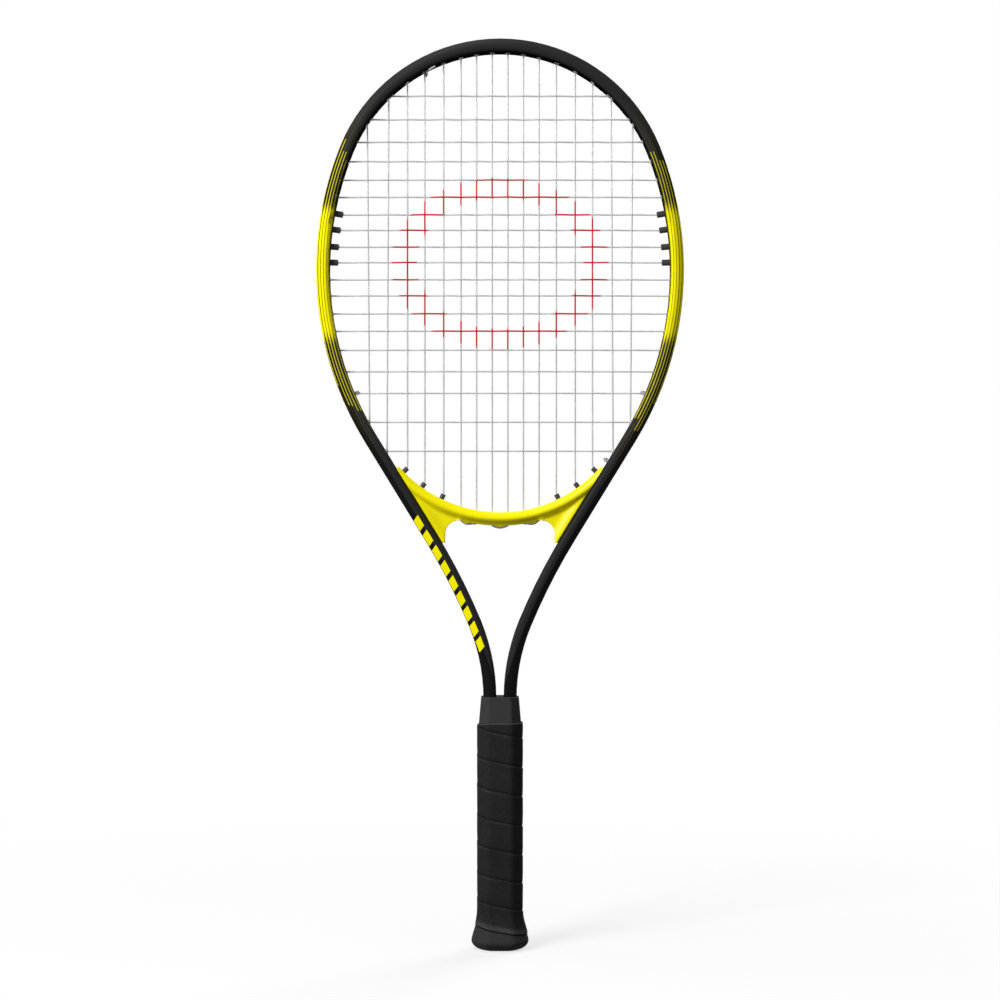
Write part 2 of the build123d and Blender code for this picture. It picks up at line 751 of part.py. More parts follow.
with BuildPart() as handle_screws:
    for level in screw_levels:
        with Locations(Plane(origin=(0, screw_seat, level), z_dir=(0, 1, 0))):
            Cylinder(screw_diameter / 2, screw_length, align=(Align.CENTER, Align.CENTER, Align.MAX))
            Cylinder(screw_head_diameter / 2, screw_head_height,
                     align=(Align.CENTER, Align.CENTER, Align.MIN))
        with Locations(Plane(origin=(0, screw_seat + screw_head_height, level), z_dir=(0, 1, 0))):
            Box(screw_slot, screw_slot_width, 2 * screw_slot_depth, mode=Mode.SUBTRACT)
            Box(screw_slot_width, screw_slot, 2 * screw_slot_depth, mode=Mode.SUBTRACT)
handle_screws.part.label = "handle_screws"
export_step(handle_screws.part, "parts/handle_screws.step")

with BuildPart() as grip_collar:
    add(octagon(grip_top, collar_base_width, collar_base_depth, collar_base_bevel))
    add(octagon(collar_top, collar_width, collar_depth, collar_bevel))
    loft(ruled=True)
    add(leg_pockets.part, mode=Mode.SUBTRACT)
grip_collar.part.label = "grip_collar"
export_step(grip_collar.part, "parts/grip_collar.step")


# ---- butt cap and wrap ----
def stack(sizes):
    """Solid through octagons, each given as a level and a size."""
    with BuildPart() as solid:
        for (low, low_size), (high, high_size) in zip(sizes, sizes[1:]):
            with BuildPart(mode=Mode.PRIVATE) as slice_part:
                add(octagon(low, *low_size))
                add(octagon(high, *high_size))
                loft(ruled=True)
            add(slice_part.part)
    return solid.part


def grown(width):
    """Octagon of the handle's proportions, as wide as asked."""
    return set_in(grip_size, (grip_width - width) / 2)


outside = [(level, grown(width))
           for level, width in zip(base_levels + skirt_levels, base_widths + skirt_widths)]
wrapped = [(level, set_in(size, wrap_thickness)) for level, size in outside if level >= skirt_levels[0]]
cap_top_size = set_in(shell_size, -1.0)

with BuildPart() as butt_cap:
    add(stack(outside[:len(base_levels) + 1]))
    add(stack(wrapped[:3] + [(cap_top, cap_top_size)]))
    add(octagon(cap_floor, *set_in(shell_size, -cap_fit)))
    extrude(amount=cap_top, mode=Mode.SUBTRACT)
    with Locations((0, 0, 0)):
        Cylinder(port_diameter / 2, 3 * cap_floor, mode=Mode.SUBTRACT)
    add(staple_holes, mode=Mode.SUBTRACT)
butt_cap.part.label = "butt_cap"
export_step(butt_cap.part, "parts/butt_cap.step")

butt_cap_staples = staples(0, 0)
butt_cap_staples.label = "butt_cap_staples"
export_step(butt_cap_staples, "parts/butt_cap_staples.step")

with BuildPart() as butt_plug:
    with BuildSketch(Plane.XZ):
        with BuildLine():
            radius = port_diameter / 2 - plug_fit
            Polyline(
                (0, plug_recess),
                (radius, plug_recess),
                (radius, cap_floor + plug_fit / 2),
                (radius + plug_lip, cap_floor + plug_fit / 2),
                (radius + plug_lip, cap_floor + plug_rim),
                (radius - plug_lip, cap_floor + plug_rim),
                (radius - plug_lip, plug_recess + plug_thickness),
                (0, plug_recess + plug_thickness),
                close=True,
            )
        make_face()
    revolve(axis=Axis.Z)
butt_plug.part.label = "butt_plug"
export_step(butt_plug.part, "parts/butt_plug.step")

with BuildPart() as grip_wrap:
    wrap_outside = [row for row in outside if row[0] >= skirt_levels[0]] + [(grip_top, grip_size)]
    add(stack(wrap_outside))
    add(stack(wrapped + [(grip_top, shell_size)]), mode=Mode.SUBTRACT)
grip_wrap.part.label = "grip_wrap"
export_step(grip_wrap.part, "parts/grip_wrap.step")
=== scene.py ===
"""Tennis racket: painted hoop, woven strings, moulded throat bridge, wrapped grip and a studio stage.

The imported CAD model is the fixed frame. Shapes are worked out in millimetres and turned to metres
when a mesh is made. Distances along the hoop start at the head's top, and levels run outward from
the tube's centreline.
"""

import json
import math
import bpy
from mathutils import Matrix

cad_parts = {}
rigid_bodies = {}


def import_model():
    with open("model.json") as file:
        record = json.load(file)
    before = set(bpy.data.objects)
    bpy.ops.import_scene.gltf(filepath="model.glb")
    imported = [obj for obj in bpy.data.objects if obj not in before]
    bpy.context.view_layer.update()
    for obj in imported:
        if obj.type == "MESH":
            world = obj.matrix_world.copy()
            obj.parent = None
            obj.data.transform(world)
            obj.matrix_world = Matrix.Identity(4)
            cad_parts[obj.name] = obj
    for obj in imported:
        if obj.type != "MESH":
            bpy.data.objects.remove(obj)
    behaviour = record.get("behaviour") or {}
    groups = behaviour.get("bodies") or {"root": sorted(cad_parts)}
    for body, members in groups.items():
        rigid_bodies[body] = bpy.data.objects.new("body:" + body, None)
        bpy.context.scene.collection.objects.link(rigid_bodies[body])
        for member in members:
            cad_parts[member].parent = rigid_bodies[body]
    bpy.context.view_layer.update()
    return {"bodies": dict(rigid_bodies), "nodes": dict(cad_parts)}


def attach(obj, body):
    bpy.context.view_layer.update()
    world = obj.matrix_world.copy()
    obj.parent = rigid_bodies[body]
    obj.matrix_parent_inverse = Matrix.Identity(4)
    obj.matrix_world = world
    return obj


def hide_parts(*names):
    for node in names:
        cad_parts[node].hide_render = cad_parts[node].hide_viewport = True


bl_info = {
    "name": "Strung racket finish",
    "version": (1, 0, 0),
    "blender": (4, 5, 0),
    "location": "3D View > Sidebar > Racket",
    "description": "Builds the visible finish of a strung tennis racket around its packed frame",
    "category": "Object",
}

import bmesh
import bpy
from mathutils import Vector

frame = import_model()
NODES = frame["nodes"]
BODY = next(iter(frame["bodies"]))
MM = 0.001

# ---- the hoop, as the frame has it, in millimetres ----
OVERALL_LENGTH = 698.5
HALF_WIDTH = 5.0
CROWN_TOP = 693.5
CROWN_RADIUS = 127.3
CROWN_TURN = math.radians(68.0)
SIDE_RADIUS = 247.2
SIDE_TURN = math.radians(53.5)
STRAIGHT_LENGTH = 89.001
THROAT_RADIUS = 478.7
THROAT_TURN = math.radians(8.9)
NECK_RADIUS = 150.0
STRAIGHT_HEADING = CROWN_TURN + SIDE_TURN
RUNS = [
    (CROWN_TURN * CROWN_RADIUS, CROWN_RADIUS),
    (SIDE_TURN * SIDE_RADIUS, SIDE_RADIUS),
    (STRAIGHT_LENGTH, None),
    (THROAT_TURN * THROAT_RADIUS, -THROAT_RADIUS),
    ((STRAIGHT_HEADING - THROAT_TURN - math.pi / 2) * NECK_RADIUS, -NECK_RADIUS),
]
JOINS = [sum(length for length, _ in RUNS[:count]) for count in range(1, len(RUNS) + 1)]
WIDEST = CROWN_TURN * CROWN_RADIUS + (math.pi / 2 - CROWN_TURN) * SIDE_RADIUS

# ---- strings and grommets ----
MAIN_SPOTS = [6.0, 18.0, 30.0, 43.3, 57.8, 71.1, 85.5, 102.0]
CROSS_DROPS = [43.5, 61.5, 78.8, 93.7, 107.9, 121.1, 134.6, 146.5, 159.4, 171.3,
               184.5, 196.9, 210.7, 224.1, 238.7, 255.2, 271.9, 294.1, 316.4]
CROSS_LEVELS = [OVERALL_LENGTH - drop for drop in CROSS_DROPS]
LONG_NOSED = (7, 8, 9, 10)
SHORT_NOSE = 0.6
LONG_NOSE = 6.5
BRIDGE_NOSE = 3.9
LAYER = 0.7                   # mains lie this far forward, crosses this far back, outside the bed
GROOVE_LEVEL = 4.3            # of a string in the groove
KNOT_REACH = 1.7
KNOT_RADIUS = 1.25
END_SHARE = 0.365

# ---- throat bridge ----
BRIDGE_RISE = 335.3
BRIDGE_TIP_RISE = 35.2
BRIDGE_TIP_GAP = 2.5
BRIDGE_BAR = 10.4
BRIDGE_FOOT = 311.8
BRIDGE_FOOT_GAP = 2.2
BRIDGE_ARCH_ROUND = 10.5
BRIDGE_FIT = 0.15
BRIDGE_HALF = 9.0
SADDLE_RADIUS = 9.0
SADDLE_DROP = 1.0
SADDLE_HALF = 4.0

# ---- handle ----
GRIP_WIDTH = 35.0
GRIP_DEPTH = 30.5
GRIP_BEVEL = 8.3
GRIP_TOP = 171.43
COLLAR_TOP = 193.93
FLARE = [(0.0, 29.0), (1.2, 35.0), (3.0, 40.0), (5.0, 43.0), (7.5, 44.2), (11.0, 43.1), (15.5, 40.4),
         (20.0, 37.9), (26.0, 35.7), (33.0, 35.0), (60.0, 35.0)]
PORT_RADIUS = 9.5
SEAM_HEIGHTS = [18.4, 39.5, 60.4, 82.7, 104.5, 127.4, 149.6, 172.2]    # at the handle's left edge


# ---------------------------------------------------------------- settings
def length_of(name, about, millimetres):
    """A length property."""
    return bpy.props.FloatProperty(name=name, description=about, default=millimetres * MM, min=0.0,
                                   subtype="DISTANCE", unit="LENGTH", precision=5)


def colour_of(name, about, *rgb):
    """A colour property."""
    return bpy.props.FloatVectorProperty(name=name, description=about, default=(*rgb, 1.0), size=4,
                                         min=0.0, max=1.0, subtype="COLOR")


class RacketSizes(bpy.types.PropertyGroup):
    """Sizes of the details that the frame leaves open."""
    string: length_of("String diameter", "Thickness of both strings", 1.3)
    main_wave: length_of("Main wave", "How far the mains bend around a cross", 0.5)
    cross_wave: length_of("Cross wave", "How far the crosses bend around a main", 0.8)
    tail: length_of("Knot tail", "Length left on the cross string's first knot", 9.5)
    stripe_pitch: length_of("Stripe pitch", "From one hoop stripe to the next", 2.17)
    stripe_width: length_of("Stripe width", "Width of a hoop stripe", 0.58)
    bridge_voxel: length_of("Bridge mesh", "Mesh size of the moulded bridge", 0.5)
    ridge_drop: length_of("Ridge drop", "From the bridge's top edge to its ridge", 5.0)
    web_half: length_of("Web", "Half the thickness of the bridge's web", 3.5)
    wrap_step: length_of("Wrap step", "Depth of the groove beside a wrap edge", 0.35)
    wrap_roll: length_of("Wrap roll", "Radius of the wrap's rolled ends", 1.1)
    collar_rim: length_of("Collar rim", "Chamfer around the collar's top", 0.7)


class RacketColours(bpy.types.PropertyGroup):
    """Colours of the finishes."""
    enamel: colour_of("Enamel", "Hoop enamel", 0.019, 0.019, 0.0195)
    stripe: colour_of("Stripe", "Hoop stripes and side panels", 0.9, 0.81, 0.0)
    bridge: colour_of("Bridge", "Moulded throat bridge", 0.84, 0.75, 0.0)
    nylon: colour_of("Nylon", "Grommet strips and barrels", 0.032, 0.032, 0.034)
    milky: colour_of("Milky nylon", "Clear grommets", 0.85, 0.87, 0.9)
    string: colour_of("String", "Monofilament", 0.66, 0.66, 0.67)
    ink: colour_of("Ink", "Stencil ring on the strings", 0.62, 0.0, 0.01)
    leather: colour_of("Leather", "Grip wrap", 0.021, 0.021, 0.021)
    collar: colour_of("Collar", "Rubber collar", 0.036, 0.036, 0.036)
    rubber: colour_of("Rubber", "Butt cap", 0.03, 0.03, 0.03)
    foam: colour_of("Foam", "Handle shells", 0.24, 0.24, 0.23)
    floor: colour_of("Floor", "Studio floor", 0.7, 0.7, 0.7)


def size_of(name):
    """A size that can be changed in the panel, in millimetres."""
    return getattr(bpy.context.scene.racket_sizes, name) / MM


def paint_of(name):
    """A colour that can be changed in the panel."""
    return tuple(getattr(bpy.context.scene.racket_colours, name))


# ---------------------------------------------------------------- node helpers
FLOAT = "NodeSocketFloat"
COLOUR = "NodeSocketColor"
BLACK = (0.0, 0.0, 0.0, 1.0)
WHITE = (1.0, 1.0, 1.0, 1.0)


class Value:
    """An output in a node tree, with the sums that Math nodes do on it."""

    def __init__(self, socket):
        self.socket = socket
        self.tree = socket.id_data

    def __add__(self, other):
        return calc("ADD", self, other)

    def __sub__(self, other):
        return calc("SUBTRACT", self, other)

    def __rsub__(self, other):
        return calc("SUBTRACT", other, self)

    def __mul__(self, other):
        return calc("MULTIPLY", self, other)

    def __abs__(self):
        return calc("ABSOLUTE", self)

    def __lt__(self, other):
        return calc("LESS_THAN", self, other)

    def __gt__(self, other):
        return calc("GREATER_THAN", self, other)


def put(socket, value):
    """Sets an input, or links a value to it."""
    if isinstance(value, Value):
        value.tree.links.new(value.socket, socket)
    else:
        socket.default_value = value


def add_node(tree, kind, inputs=None, **settings):
    """A node with its settings, and its inputs set or linked."""
    node = tree.nodes.new(kind)
    for name, value in settings.items():
        setattr(node, name, value)
    for name, value in (inputs or {}).items():
        put(node.inputs[name], value)
    return node


def calc(operation, *values):
    """Result of a Math node."""
    tree = next(value.tree for value in values if isinstance(value, Value))
    return Value(add_node(tree, "ShaderNodeMath", dict(enumerate(values)), operation=operation).outputs[0])


def ramp(value, start, end, low=0.0, high=1.0, kind="SMOOTHSTEP"):
    """Value carried from low to high between start and end."""
    inputs = {"Value": value, "From Min": start, "From Max": end, "To Min": low, "To Max": high}
    node = add_node(value.tree, "ShaderNodeMapRange", inputs, interpolation_type=kind)
    return Value(node.outputs["Result"])


def mix(factor, first, second, kind="FLOAT"):
    """Number, or with kind RGBA a colour, mixed from first to second."""
    shift = 4 if kind == "RGBA" else 0
    node = add_node(factor.tree, "ShaderNodeMix", data_type=kind)
    for index, value in ((0, factor), (2 + shift, first), (3 + shift, second)):
        put(node.inputs[index], value)
    return Value(node.outputs[shift // 2])


def scaled(colour, factor):
    """Colour multiplied by a factor; one of the two varies over the surface."""
    tree = factor.tree if isinstance(factor, Value) else colour.tree
    product = add_node(tree, "ShaderNodeVectorMath", {0: colour, 1: factor}, operation="MULTIPLY")
    return Value(product.outputs["Vector"])


def hypotenuse(first, second):
    """Length of the long side over two short ones."""
    return calc("SQRT", first * first + second * second)


def place_on(tree):
    """Place on the piece, in metres."""
    return Value(add_node(tree, "ShaderNodeTexCoord").outputs["Object"])


def axis_values(tree):
    """Place on the piece along x, y and z, in millimetres."""
    split = add_node(tree, "ShaderNodeSeparateXYZ", {"Vector": place_on(tree)})
    return [Value(split.outputs[axis]) * (1.0 / MM) for axis in "XYZ"]


def noise(tree, **inputs):
    """Soft noise over the piece, from 0 to 1."""
    return Value(add_node(tree, "ShaderNodeTexNoise", {"Vector": place_on(tree), **inputs}).outputs["Fac"])


def node_group(name, inputs, outputs, fill):
    """Shader node group, built once; fill takes its tree and inputs, and gives the values it puts out."""
    if name not in bpy.data.node_groups:
        group = bpy.data.node_groups.new(name, "ShaderNodeTree")
        for title, kind, default in inputs:
            group.interface.new_socket(title, in_out="INPUT", socket_type=kind).default_value = default
        for title, kind in outputs:
            group.interface.new_socket(title, in_out="OUTPUT", socket_type=kind)
        start, end = group.nodes.new("NodeGroupInput"), group.nodes.new("NodeGroupOutput")
        made = fill(group, *(Value(start.outputs[title]) for title, _, _ in inputs))
        for (title, _), value in zip(outputs, made):
            put(end.inputs[title], value)
    return bpy.data.node_groups[name]


def place_group(tree, group, values):
    """What a group gives in a tree, with its inputs set or linked."""
    node = add_node(tree, "ShaderNodeGroup", node_tree=group)
    for title, value in values.items():
        put(node.inputs[title], value)
    return [Value(socket) for socket in node.outputs]


def surface_grain():
    """Group: handling marks of a moulded or painted surface."""
    def fill(group, colour, tint, scale, rough_low, rough_high):
        fine = noise(group, Scale=scale, Detail=3.0)
        spread = ramp(noise(group, Scale=38.0, Detail=5.0, Roughness=0.6), 0.3, 0.7, kind="LINEAR")
        return scaled(colour, tint * (spread - 0.5) + 1.0), mix(spread, rough_low, rough_high), fine
    inputs = [("Colour", COLOUR, WHITE), ("Tint", FLOAT, 0.12), ("Scale", FLOAT, 900.0),
              ("Rough low", FLOAT, 0.3), ("Rough high", FLOAT, 0.45)]
    outputs = [("Colour", COLOUR), ("Roughness", FLOAT), ("Height", FLOAT)]
    return node_group("Surface grain", inputs, outputs, fill)


def edge_polish_and_highlight():
    """Group: how much a raised edge is lightened, from 0 to 1; partly edge wear, partly a painted highlight.
    """
    def fill(group, start, end):
        sharp = Value(add_node(group, "ShaderNodeNewGeometry").outputs["Pointiness"])
        return [ramp(sharp, start, end) * ramp(noise(group, Scale=130.0, Detail=4.0), 0.35, 0.6, 0.35, 1.0)]
    return node_group("Edge polish", [("Start", FLOAT, 0.52), ("End", FLOAT, 0.6)], [("Mask", FLOAT)], fill)


def new_material(name):
    """Material with its node tree and its Principled shader."""
    material = bpy.data.materials.new(name)
    material.use_nodes = True
    return material, material.node_tree, material.node_tree.nodes["Principled BSDF"]


def grained(name, colour, rough, bump, scale=900.0, tint=0.12, specular=0.5, metallic=0.0, polish=0.0,
            edge=0.0, clear=0.0):
    """Material with the shared grain: a colour or its maker, a roughness span and a bump depth in mm.

    Polish lightens raised edges, partly as edge wear and partly as a painted highlight; edge paints shade
    where the surface turns away from the view; clear lets light through.
    """
    material, tree, shader = new_material(name)
    grain = {"Colour": colour(tree) if callable(colour) else colour, "Tint": tint, "Scale": scale,
             "Rough low": rough[0], "Rough high": rough[1]}
    shown, roughness, height = place_group(tree, surface_grain(), grain)
    # edge wear and painted highlight: raised edges are lightened and made a little smoother
    if polish:
        mask, = place_group(tree, edge_polish_and_highlight(), {})
        shown = mix(mask, shown, scaled(shown, (1.0 + polish,) * 3), "RGBA")
        roughness = roughness - mask * 0.12
    # painted shade: the colour darkens where the surface turns away from the view
    if edge:
        facing = Value(add_node(tree, "ShaderNodeLayerWeight", {"Blend": 0.5}).outputs["Facing"])
        shown = scaled(shown, ramp(facing, 0.45, 0.95, 1.0, 1.0 - edge))
    grain_bump = add_node(tree, "ShaderNodeBump", {"Height": height, "Strength": 0.6, "Distance": bump * MM})
    finish = {"Base Color": shown, "Roughness": roughness, "Normal": Value(grain_bump.outputs["Normal"]),
              "Specular IOR Level": specular, "Transmission Weight": clear, "Metallic": metallic}
    for title, value in finish.items():
        put(shader.inputs[title], value(tree) if callable(value) else value)
    return material


def dress(material, *nodes):
    """Puts one material on CAD nodes."""
    for node in nodes:
        materials = NODES[node].data.materials
        materials.clear()
        materials.append(material)


# ---------------------------------------------------------------- hoop geometry
def follow(distance):
    """Point and heading on the right half of the centreline, a distance from the head's top."""
    x, z, heading = 0.0, CROWN_TOP, 0.0
    left = distance
    for length, radius in RUNS:
        step = min(left, length)
        if radius is None:
            x += step * math.cos(heading)
            z -= step * math.sin(heading)
        else:
            turned = heading + step / radius
            x += radius * (math.sin(turned) - math.sin(heading))
            z += radius * (math.cos(turned) - math.cos(heading))
            heading = turned
        left -= step
    return x + left * math.cos(heading), z - left * math.sin(heading), heading


def spot(distance, level):
    """Point at a level outward from the centreline; a negative distance is on the left side."""
    x, z, heading = follow(abs(distance))
    side = -1 if distance < 0 else 1
    return side * (x + level * math.sin(heading)), z + level * math.cos(heading)


def solve(test, low, high):
    """Where a rising test function crosses zero."""
    for _ in range(50):
        middle = (low + high) / 2
        if test(middle) < 0:
            low = middle
        else:
            high = middle
    return low


def nearest(point):
    """Distance along the right side that a point is level with, and its level outward."""
    def past(value):
        x, z, heading = follow(value)
        return (x - point[0]) * math.cos(heading) - (z - point[1]) * math.sin(heading)
    at = solve(past, WIDEST, JOINS[-1])
    x, z, heading = follow(at)
    return at, (point[0] - x) * math.sin(heading) + (point[1] - z) * math.cos(heading)


def nose_of(number):
    """Length of a cross's sleeves inside the hoop."""
    return LONG_NOSE if number in LONG_NOSED else SHORT_NOSE


def mouth(hole, nose=SHORT_NOSE):
    """Point in the middle of a sleeve's mouth, inside the hoop."""
    return spot(hole, -HALF_WIDTH - nose)


def top_hole(x):
    """Distance along the hoop of a main's hole."""
    return solve(lambda value: mouth(value)[0] - x, 0, WIDEST)


def side_hole(z, nose):
    """Distance along the hoop of a cross's hole."""
    return solve(lambda value: z - mouth(value, nose)[1], 0, JOINS[-1])


TIP_LEVEL = -HALF_WIDTH - BRIDGE_TIP_GAP
BRIDGE_TIP = solve(lambda value: BRIDGE_RISE + BRIDGE_TIP_RISE - spot(value, TIP_LEVEL)[1], WIDEST, JOINS[-1])
TIP_X = spot(BRIDGE_TIP, TIP_LEVEL)[0]
TOP_RADIUS = (TIP_X ** 2 + BRIDGE_TIP_RISE ** 2) / (2 * BRIDGE_TIP_RISE)
MAIN_HOLES = [top_hole(x) for x in MAIN_SPOTS]
CROSS_HOLES = [side_hole(z, nose_of(number)) for number, z in enumerate(CROSS_LEVELS, 1)]
SHARED_HOLES = CROSS_HOLES[-2:]
TIE_HOLE = CROSS_HOLES[-3]
KNOT_HOLE = MAIN_HOLES[4]


def top_of_bridge(x):
    """Height of the bridge's top edge."""
    return BRIDGE_RISE + TOP_RADIUS - math.sqrt(TOP_RADIUS ** 2 - x ** 2)


def down_from(x, distance):
    """Point on a bridge barrel's axis, a distance from its mouth."""
    reach = TOP_RADIUS - BRIDGE_NOSE
    across = x / reach
    rise = math.sqrt(reach ** 2 - x ** 2)
    return (x + distance * across,
            BRIDGE_RISE + TOP_RADIUS - rise - distance * math.sqrt(1 - across ** 2))


TIP_OUT = solve(lambda value: nearest(down_from(MAIN_SPOTS[5], value))[1] - GROOVE_LEVEL, 0, 60)
TIP_HOLE = nearest(down_from(MAIN_SPOTS[5], TIP_OUT))[0]
END_HOLE = SHARED_HOLES[1] + END_SHARE * (TIP_HOLE - SHARED_HOLES[1])


# ---------------------------------------------------------------- mesh helpers
TUBE_SIDES = 10


def add_object(name, data):
    """A new object in the scene."""
    item = bpy.data.objects.new(name, data)
    bpy.context.scene.collection.objects.link(item)
    return item


def mesh_object(name, points, faces, material):
    """A smooth piece from points in millimetres."""
    mesh = bpy.data.meshes.new(name)
    mesh.from_pydata([(x * MM, y * MM, z * MM) for x, y, z in points], [], faces)
    mesh.materials.append(material)
    mesh.polygons.foreach_set("use_smooth", [True] * len(mesh.polygons))
    mesh.update()
    return add_object(name, mesh)


def skin(rings, capped=True):
    """Points and faces of a surface through rings of equal length."""
    count = len(rings[0])
    points = [point for ring in rings for point in ring]
    faces = []
    for row in range(0, len(points) - count, count):
        for column in range(count):
            a, b = row + column, row + (column + 1) % count
            faces.append((a, b, b + count, a + count))
    if capped:
        faces.append(tuple(reversed(range(count))))
        faces.append(tuple(range(len(points) - count, len(points))))
    return points, faces


def tube_along(path, radius, capped=True):
    """Points and faces of a round tube that follows a path without twisting."""
    path = [Vector(point) for point in path]
    turns = [2 * math.pi * step / TUBE_SIDES for step in range(TUBE_SIDES)]
    rings = []
    across = None
    for index, here in enumerate(path):
        before = path[max(index - 1, 0)]
        after = path[min(index + 1, len(path) - 1)]
        ahead = (after - before).normalized()
        if across is None:
            across = ahead.orthogonal().normalized()
        across = (across - ahead * across.dot(ahead)).normalized()
        other = ahead.cross(across)
        rings.append([here + radius * (math.cos(turn) * across + math.sin(turn) * other) for turn in turns])
    return skin(rings, capped)


def merge(parts):
    """One list of points and one of faces from several."""
    points, faces = [], []
    for part_points, part_faces in parts:
        shift = len(points)
        points += part_points
        faces += [tuple(index + shift for index in face) for face in part_faces]
    return points, faces


def finish_piece(piece, slot, *replaced):
    """Rides on the body and stands for its CAD nodes, which it hides; the slot it is given is not used."""
    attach(piece, BODY)
    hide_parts(*replaced)


def smoothstep(value):
    """Eases a share from 0 to 1."""
    value = min(max(value, 0.0), 1.0)
    return value * value * (3 - 2 * value)


def curve_through(table, value):
    """Smooth value through a table of rising places and values."""
    index = 0
    while index < len(table) - 2 and value > table[index + 1][0]:
        index += 1
    (x0, y0), (x1, y1) = table[index], table[index + 1]

    def slope(at):
        if at in (0, len(table) - 1):
            near = min(at, len(table) - 2)
            return (table[near + 1][1] - table[near][1]) / (table[near + 1][0] - table[near][0])
        return (table[at + 1][1] - table[at - 1][1]) / (table[at + 1][0] - table[at - 1][0])
    span = x1 - x0
    t = min(max((value - x0) / span, 0.0), 1.0)
    leave, arrive = span * slope(index), span * slope(index + 1)
    return y0 + (y1 - y0) * smoothstep(t) + t * (1 - t) ** 2 * leave - t ** 2 * (1 - t) * arrive


# ---------------------------------------------------------------- hoop finish
def hoop_level(x, height):
    """Level outward from the tube's centreline, in millimetres, down to the throat."""
    across = abs(x)

    def from_point(point_x, point_z):
        return hypotenuse(across - point_x, height - point_z)
    (crown_x, crown_z), (side_x, side_z), (straight_x, straight_z) = (follow(join)[:2] for join in JOINS[:3])
    out_x, out_z = math.sin(STRAIGHT_HEADING), math.cos(STRAIGHT_HEADING)
    crown = from_point(0.0, CROWN_TOP - CROWN_RADIUS) - CROWN_RADIUS
    side = from_point(crown_x - SIDE_RADIUS * math.sin(CROWN_TURN),
                      crown_z - SIDE_RADIUS * math.cos(CROWN_TURN)) - SIDE_RADIUS
    straight = (across - side_x) * out_x + (height - side_z) * out_z
    throat = THROAT_RADIUS - from_point(straight_x + THROAT_RADIUS * out_x,
                                        straight_z + THROAT_RADIUS * out_z)
    level = mix(height > crown_z, side, crown)
    level = mix(height < side_z, level, straight)
    return mix(height < straight_z, level, throat)


def stripe_end(number, left, left_ends, right_ends):
    """Height at which each stripe ends, looked up by its number."""
    low = min(left_ends + right_ends) - 1.0
    span = max(left_ends + right_ends) + 1.0 - low
    found = []
    for heights in (left_ends, right_ends):
        table = add_node(number.tree, "ShaderNodeValToRGB")
        table.color_ramp.interpolation = "CONSTANT"
        stops = table.color_ramp.elements
        for index, height in enumerate(heights):
            stop = stops[index] if index < 2 else stops.new(index / len(heights))
            stop.position = index / len(heights)
            stop.color = (*[(height - low) / span] * 3, 1.0)
        put(table.inputs["Fac"], ramp(number, -0.5, len(heights) - 0.5, kind="LINEAR"))
        found.append(Value(table.outputs["Color"]) * span + low)
    return mix(left, found[1], found[0])


STRIPE_COUNT = 5
FIRST_STRIPE = -4.15          # level of the innermost stripe
STRIPE_DRIFT = 0.004          # outward for each millimetre of height
STRIPE_MIDDLE = 510.0
UPPER_ENDS = ([604.7, 611.0, 611.5, 621.0, 622.5], [611.0, 611.3, 604.6, 604.9, 597.0])
LOWER_ENDS = ([413.4, 413.0, 416.7, 417.0, 432.0], [407.5, 407.0, 397.8, 397.3, 418.0])
STRIPE_STRENGTH = 0.66
PANEL_TOP = 563.0
PANEL_FOOT = 474.0
PANEL_FADE = 13.0
MARK_FOOT = 229.0
MARK_TOP = 333.0
MARK_PITCH = 11.6
MARK_LANE = (-0.5, 4.6)
MARK_SLANT = 0.9
MARK_SHARE = 0.725


def hoop_colour(tree):
    """Enamel with stripes and side panels, slanted marks down the left leg, and painted shade on the tube's
    outer side below the head.
    """
    x, y, z = axis_values(tree)
    left = x < 0.0
    level = hoop_level(x, z)
    pitch = size_of("stripe_pitch")
    half = size_of("stripe_width") / 2
    count = (level - (z - STRIPE_MIDDLE) * STRIPE_DRIFT - FIRST_STRIPE) * (1.0 / pitch)
    number = calc("MINIMUM", calc("MAXIMUM", calc("ROUND", count), 0.0), STRIPE_COUNT - 1.0)
    off = abs(count - number) * pitch
    panel = (ramp(z, PANEL_TOP + PANEL_FADE, PANEL_TOP - 2.0)
             * ramp(z, PANEL_FOOT - PANEL_FADE, PANEL_FOOT + 2.0))
    gap = ramp(off - mix(panel, half, pitch * 0.36), -0.09, 0.09)
    # in the side panels the lines between stripes carry painted shade: they darken toward the tube's outer
    # side
    gap_depth_and_shade = mix(panel, 1.0, ramp(level, -HALF_WIDTH, HALF_WIDTH, 0.6, 1.0, "LINEAR"))
    past = calc("MAXIMUM", z - stripe_end(number, left, *UPPER_ENDS),
                stripe_end(number, left, *LOWER_ENDS) - z)
    yellow = (ramp(past, 0.4, -0.4) * ramp(panel, 0.0, 1.0, STRIPE_STRENGTH, 1.0)
              * (1.0 - gap * gap_depth_and_shade))
    trace = ramp(past, 45.0, 2.0) * ramp(off, 0.55, 0.3) * 0.024
    slanted = z + level * MARK_SLANT
    step = calc("FRACT", slanted * (1.0 / MARK_PITCH))
    block = ramp(step, 0.0, 0.03) * ramp(step, MARK_SHARE + 0.015, MARK_SHARE - 0.015)
    span = ramp(slanted, MARK_FOOT, MARK_FOOT + 0.3) * ramp(slanted, MARK_TOP, MARK_TOP - 0.3)
    inner, outer = MARK_LANE
    lane = ramp(level, inner - 0.1, inner + 0.1) * ramp(level, outer + 0.1, outer - 0.1)
    paint = calc("MAXIMUM", calc("MAXIMUM", yellow, trace), block * span * lane * left * (y < 0.0))
    # painted shade: below the head, the enamel on the tube's outer side is darkened toward black
    shaded = ramp(level, 0.3, 1.3) * ramp(z, 640.0, 600.0) * 0.75
    return mix(paint, mix(shaded, paint_of("enamel"), BLACK, "RGBA"), paint_of("stripe"), "RGBA")


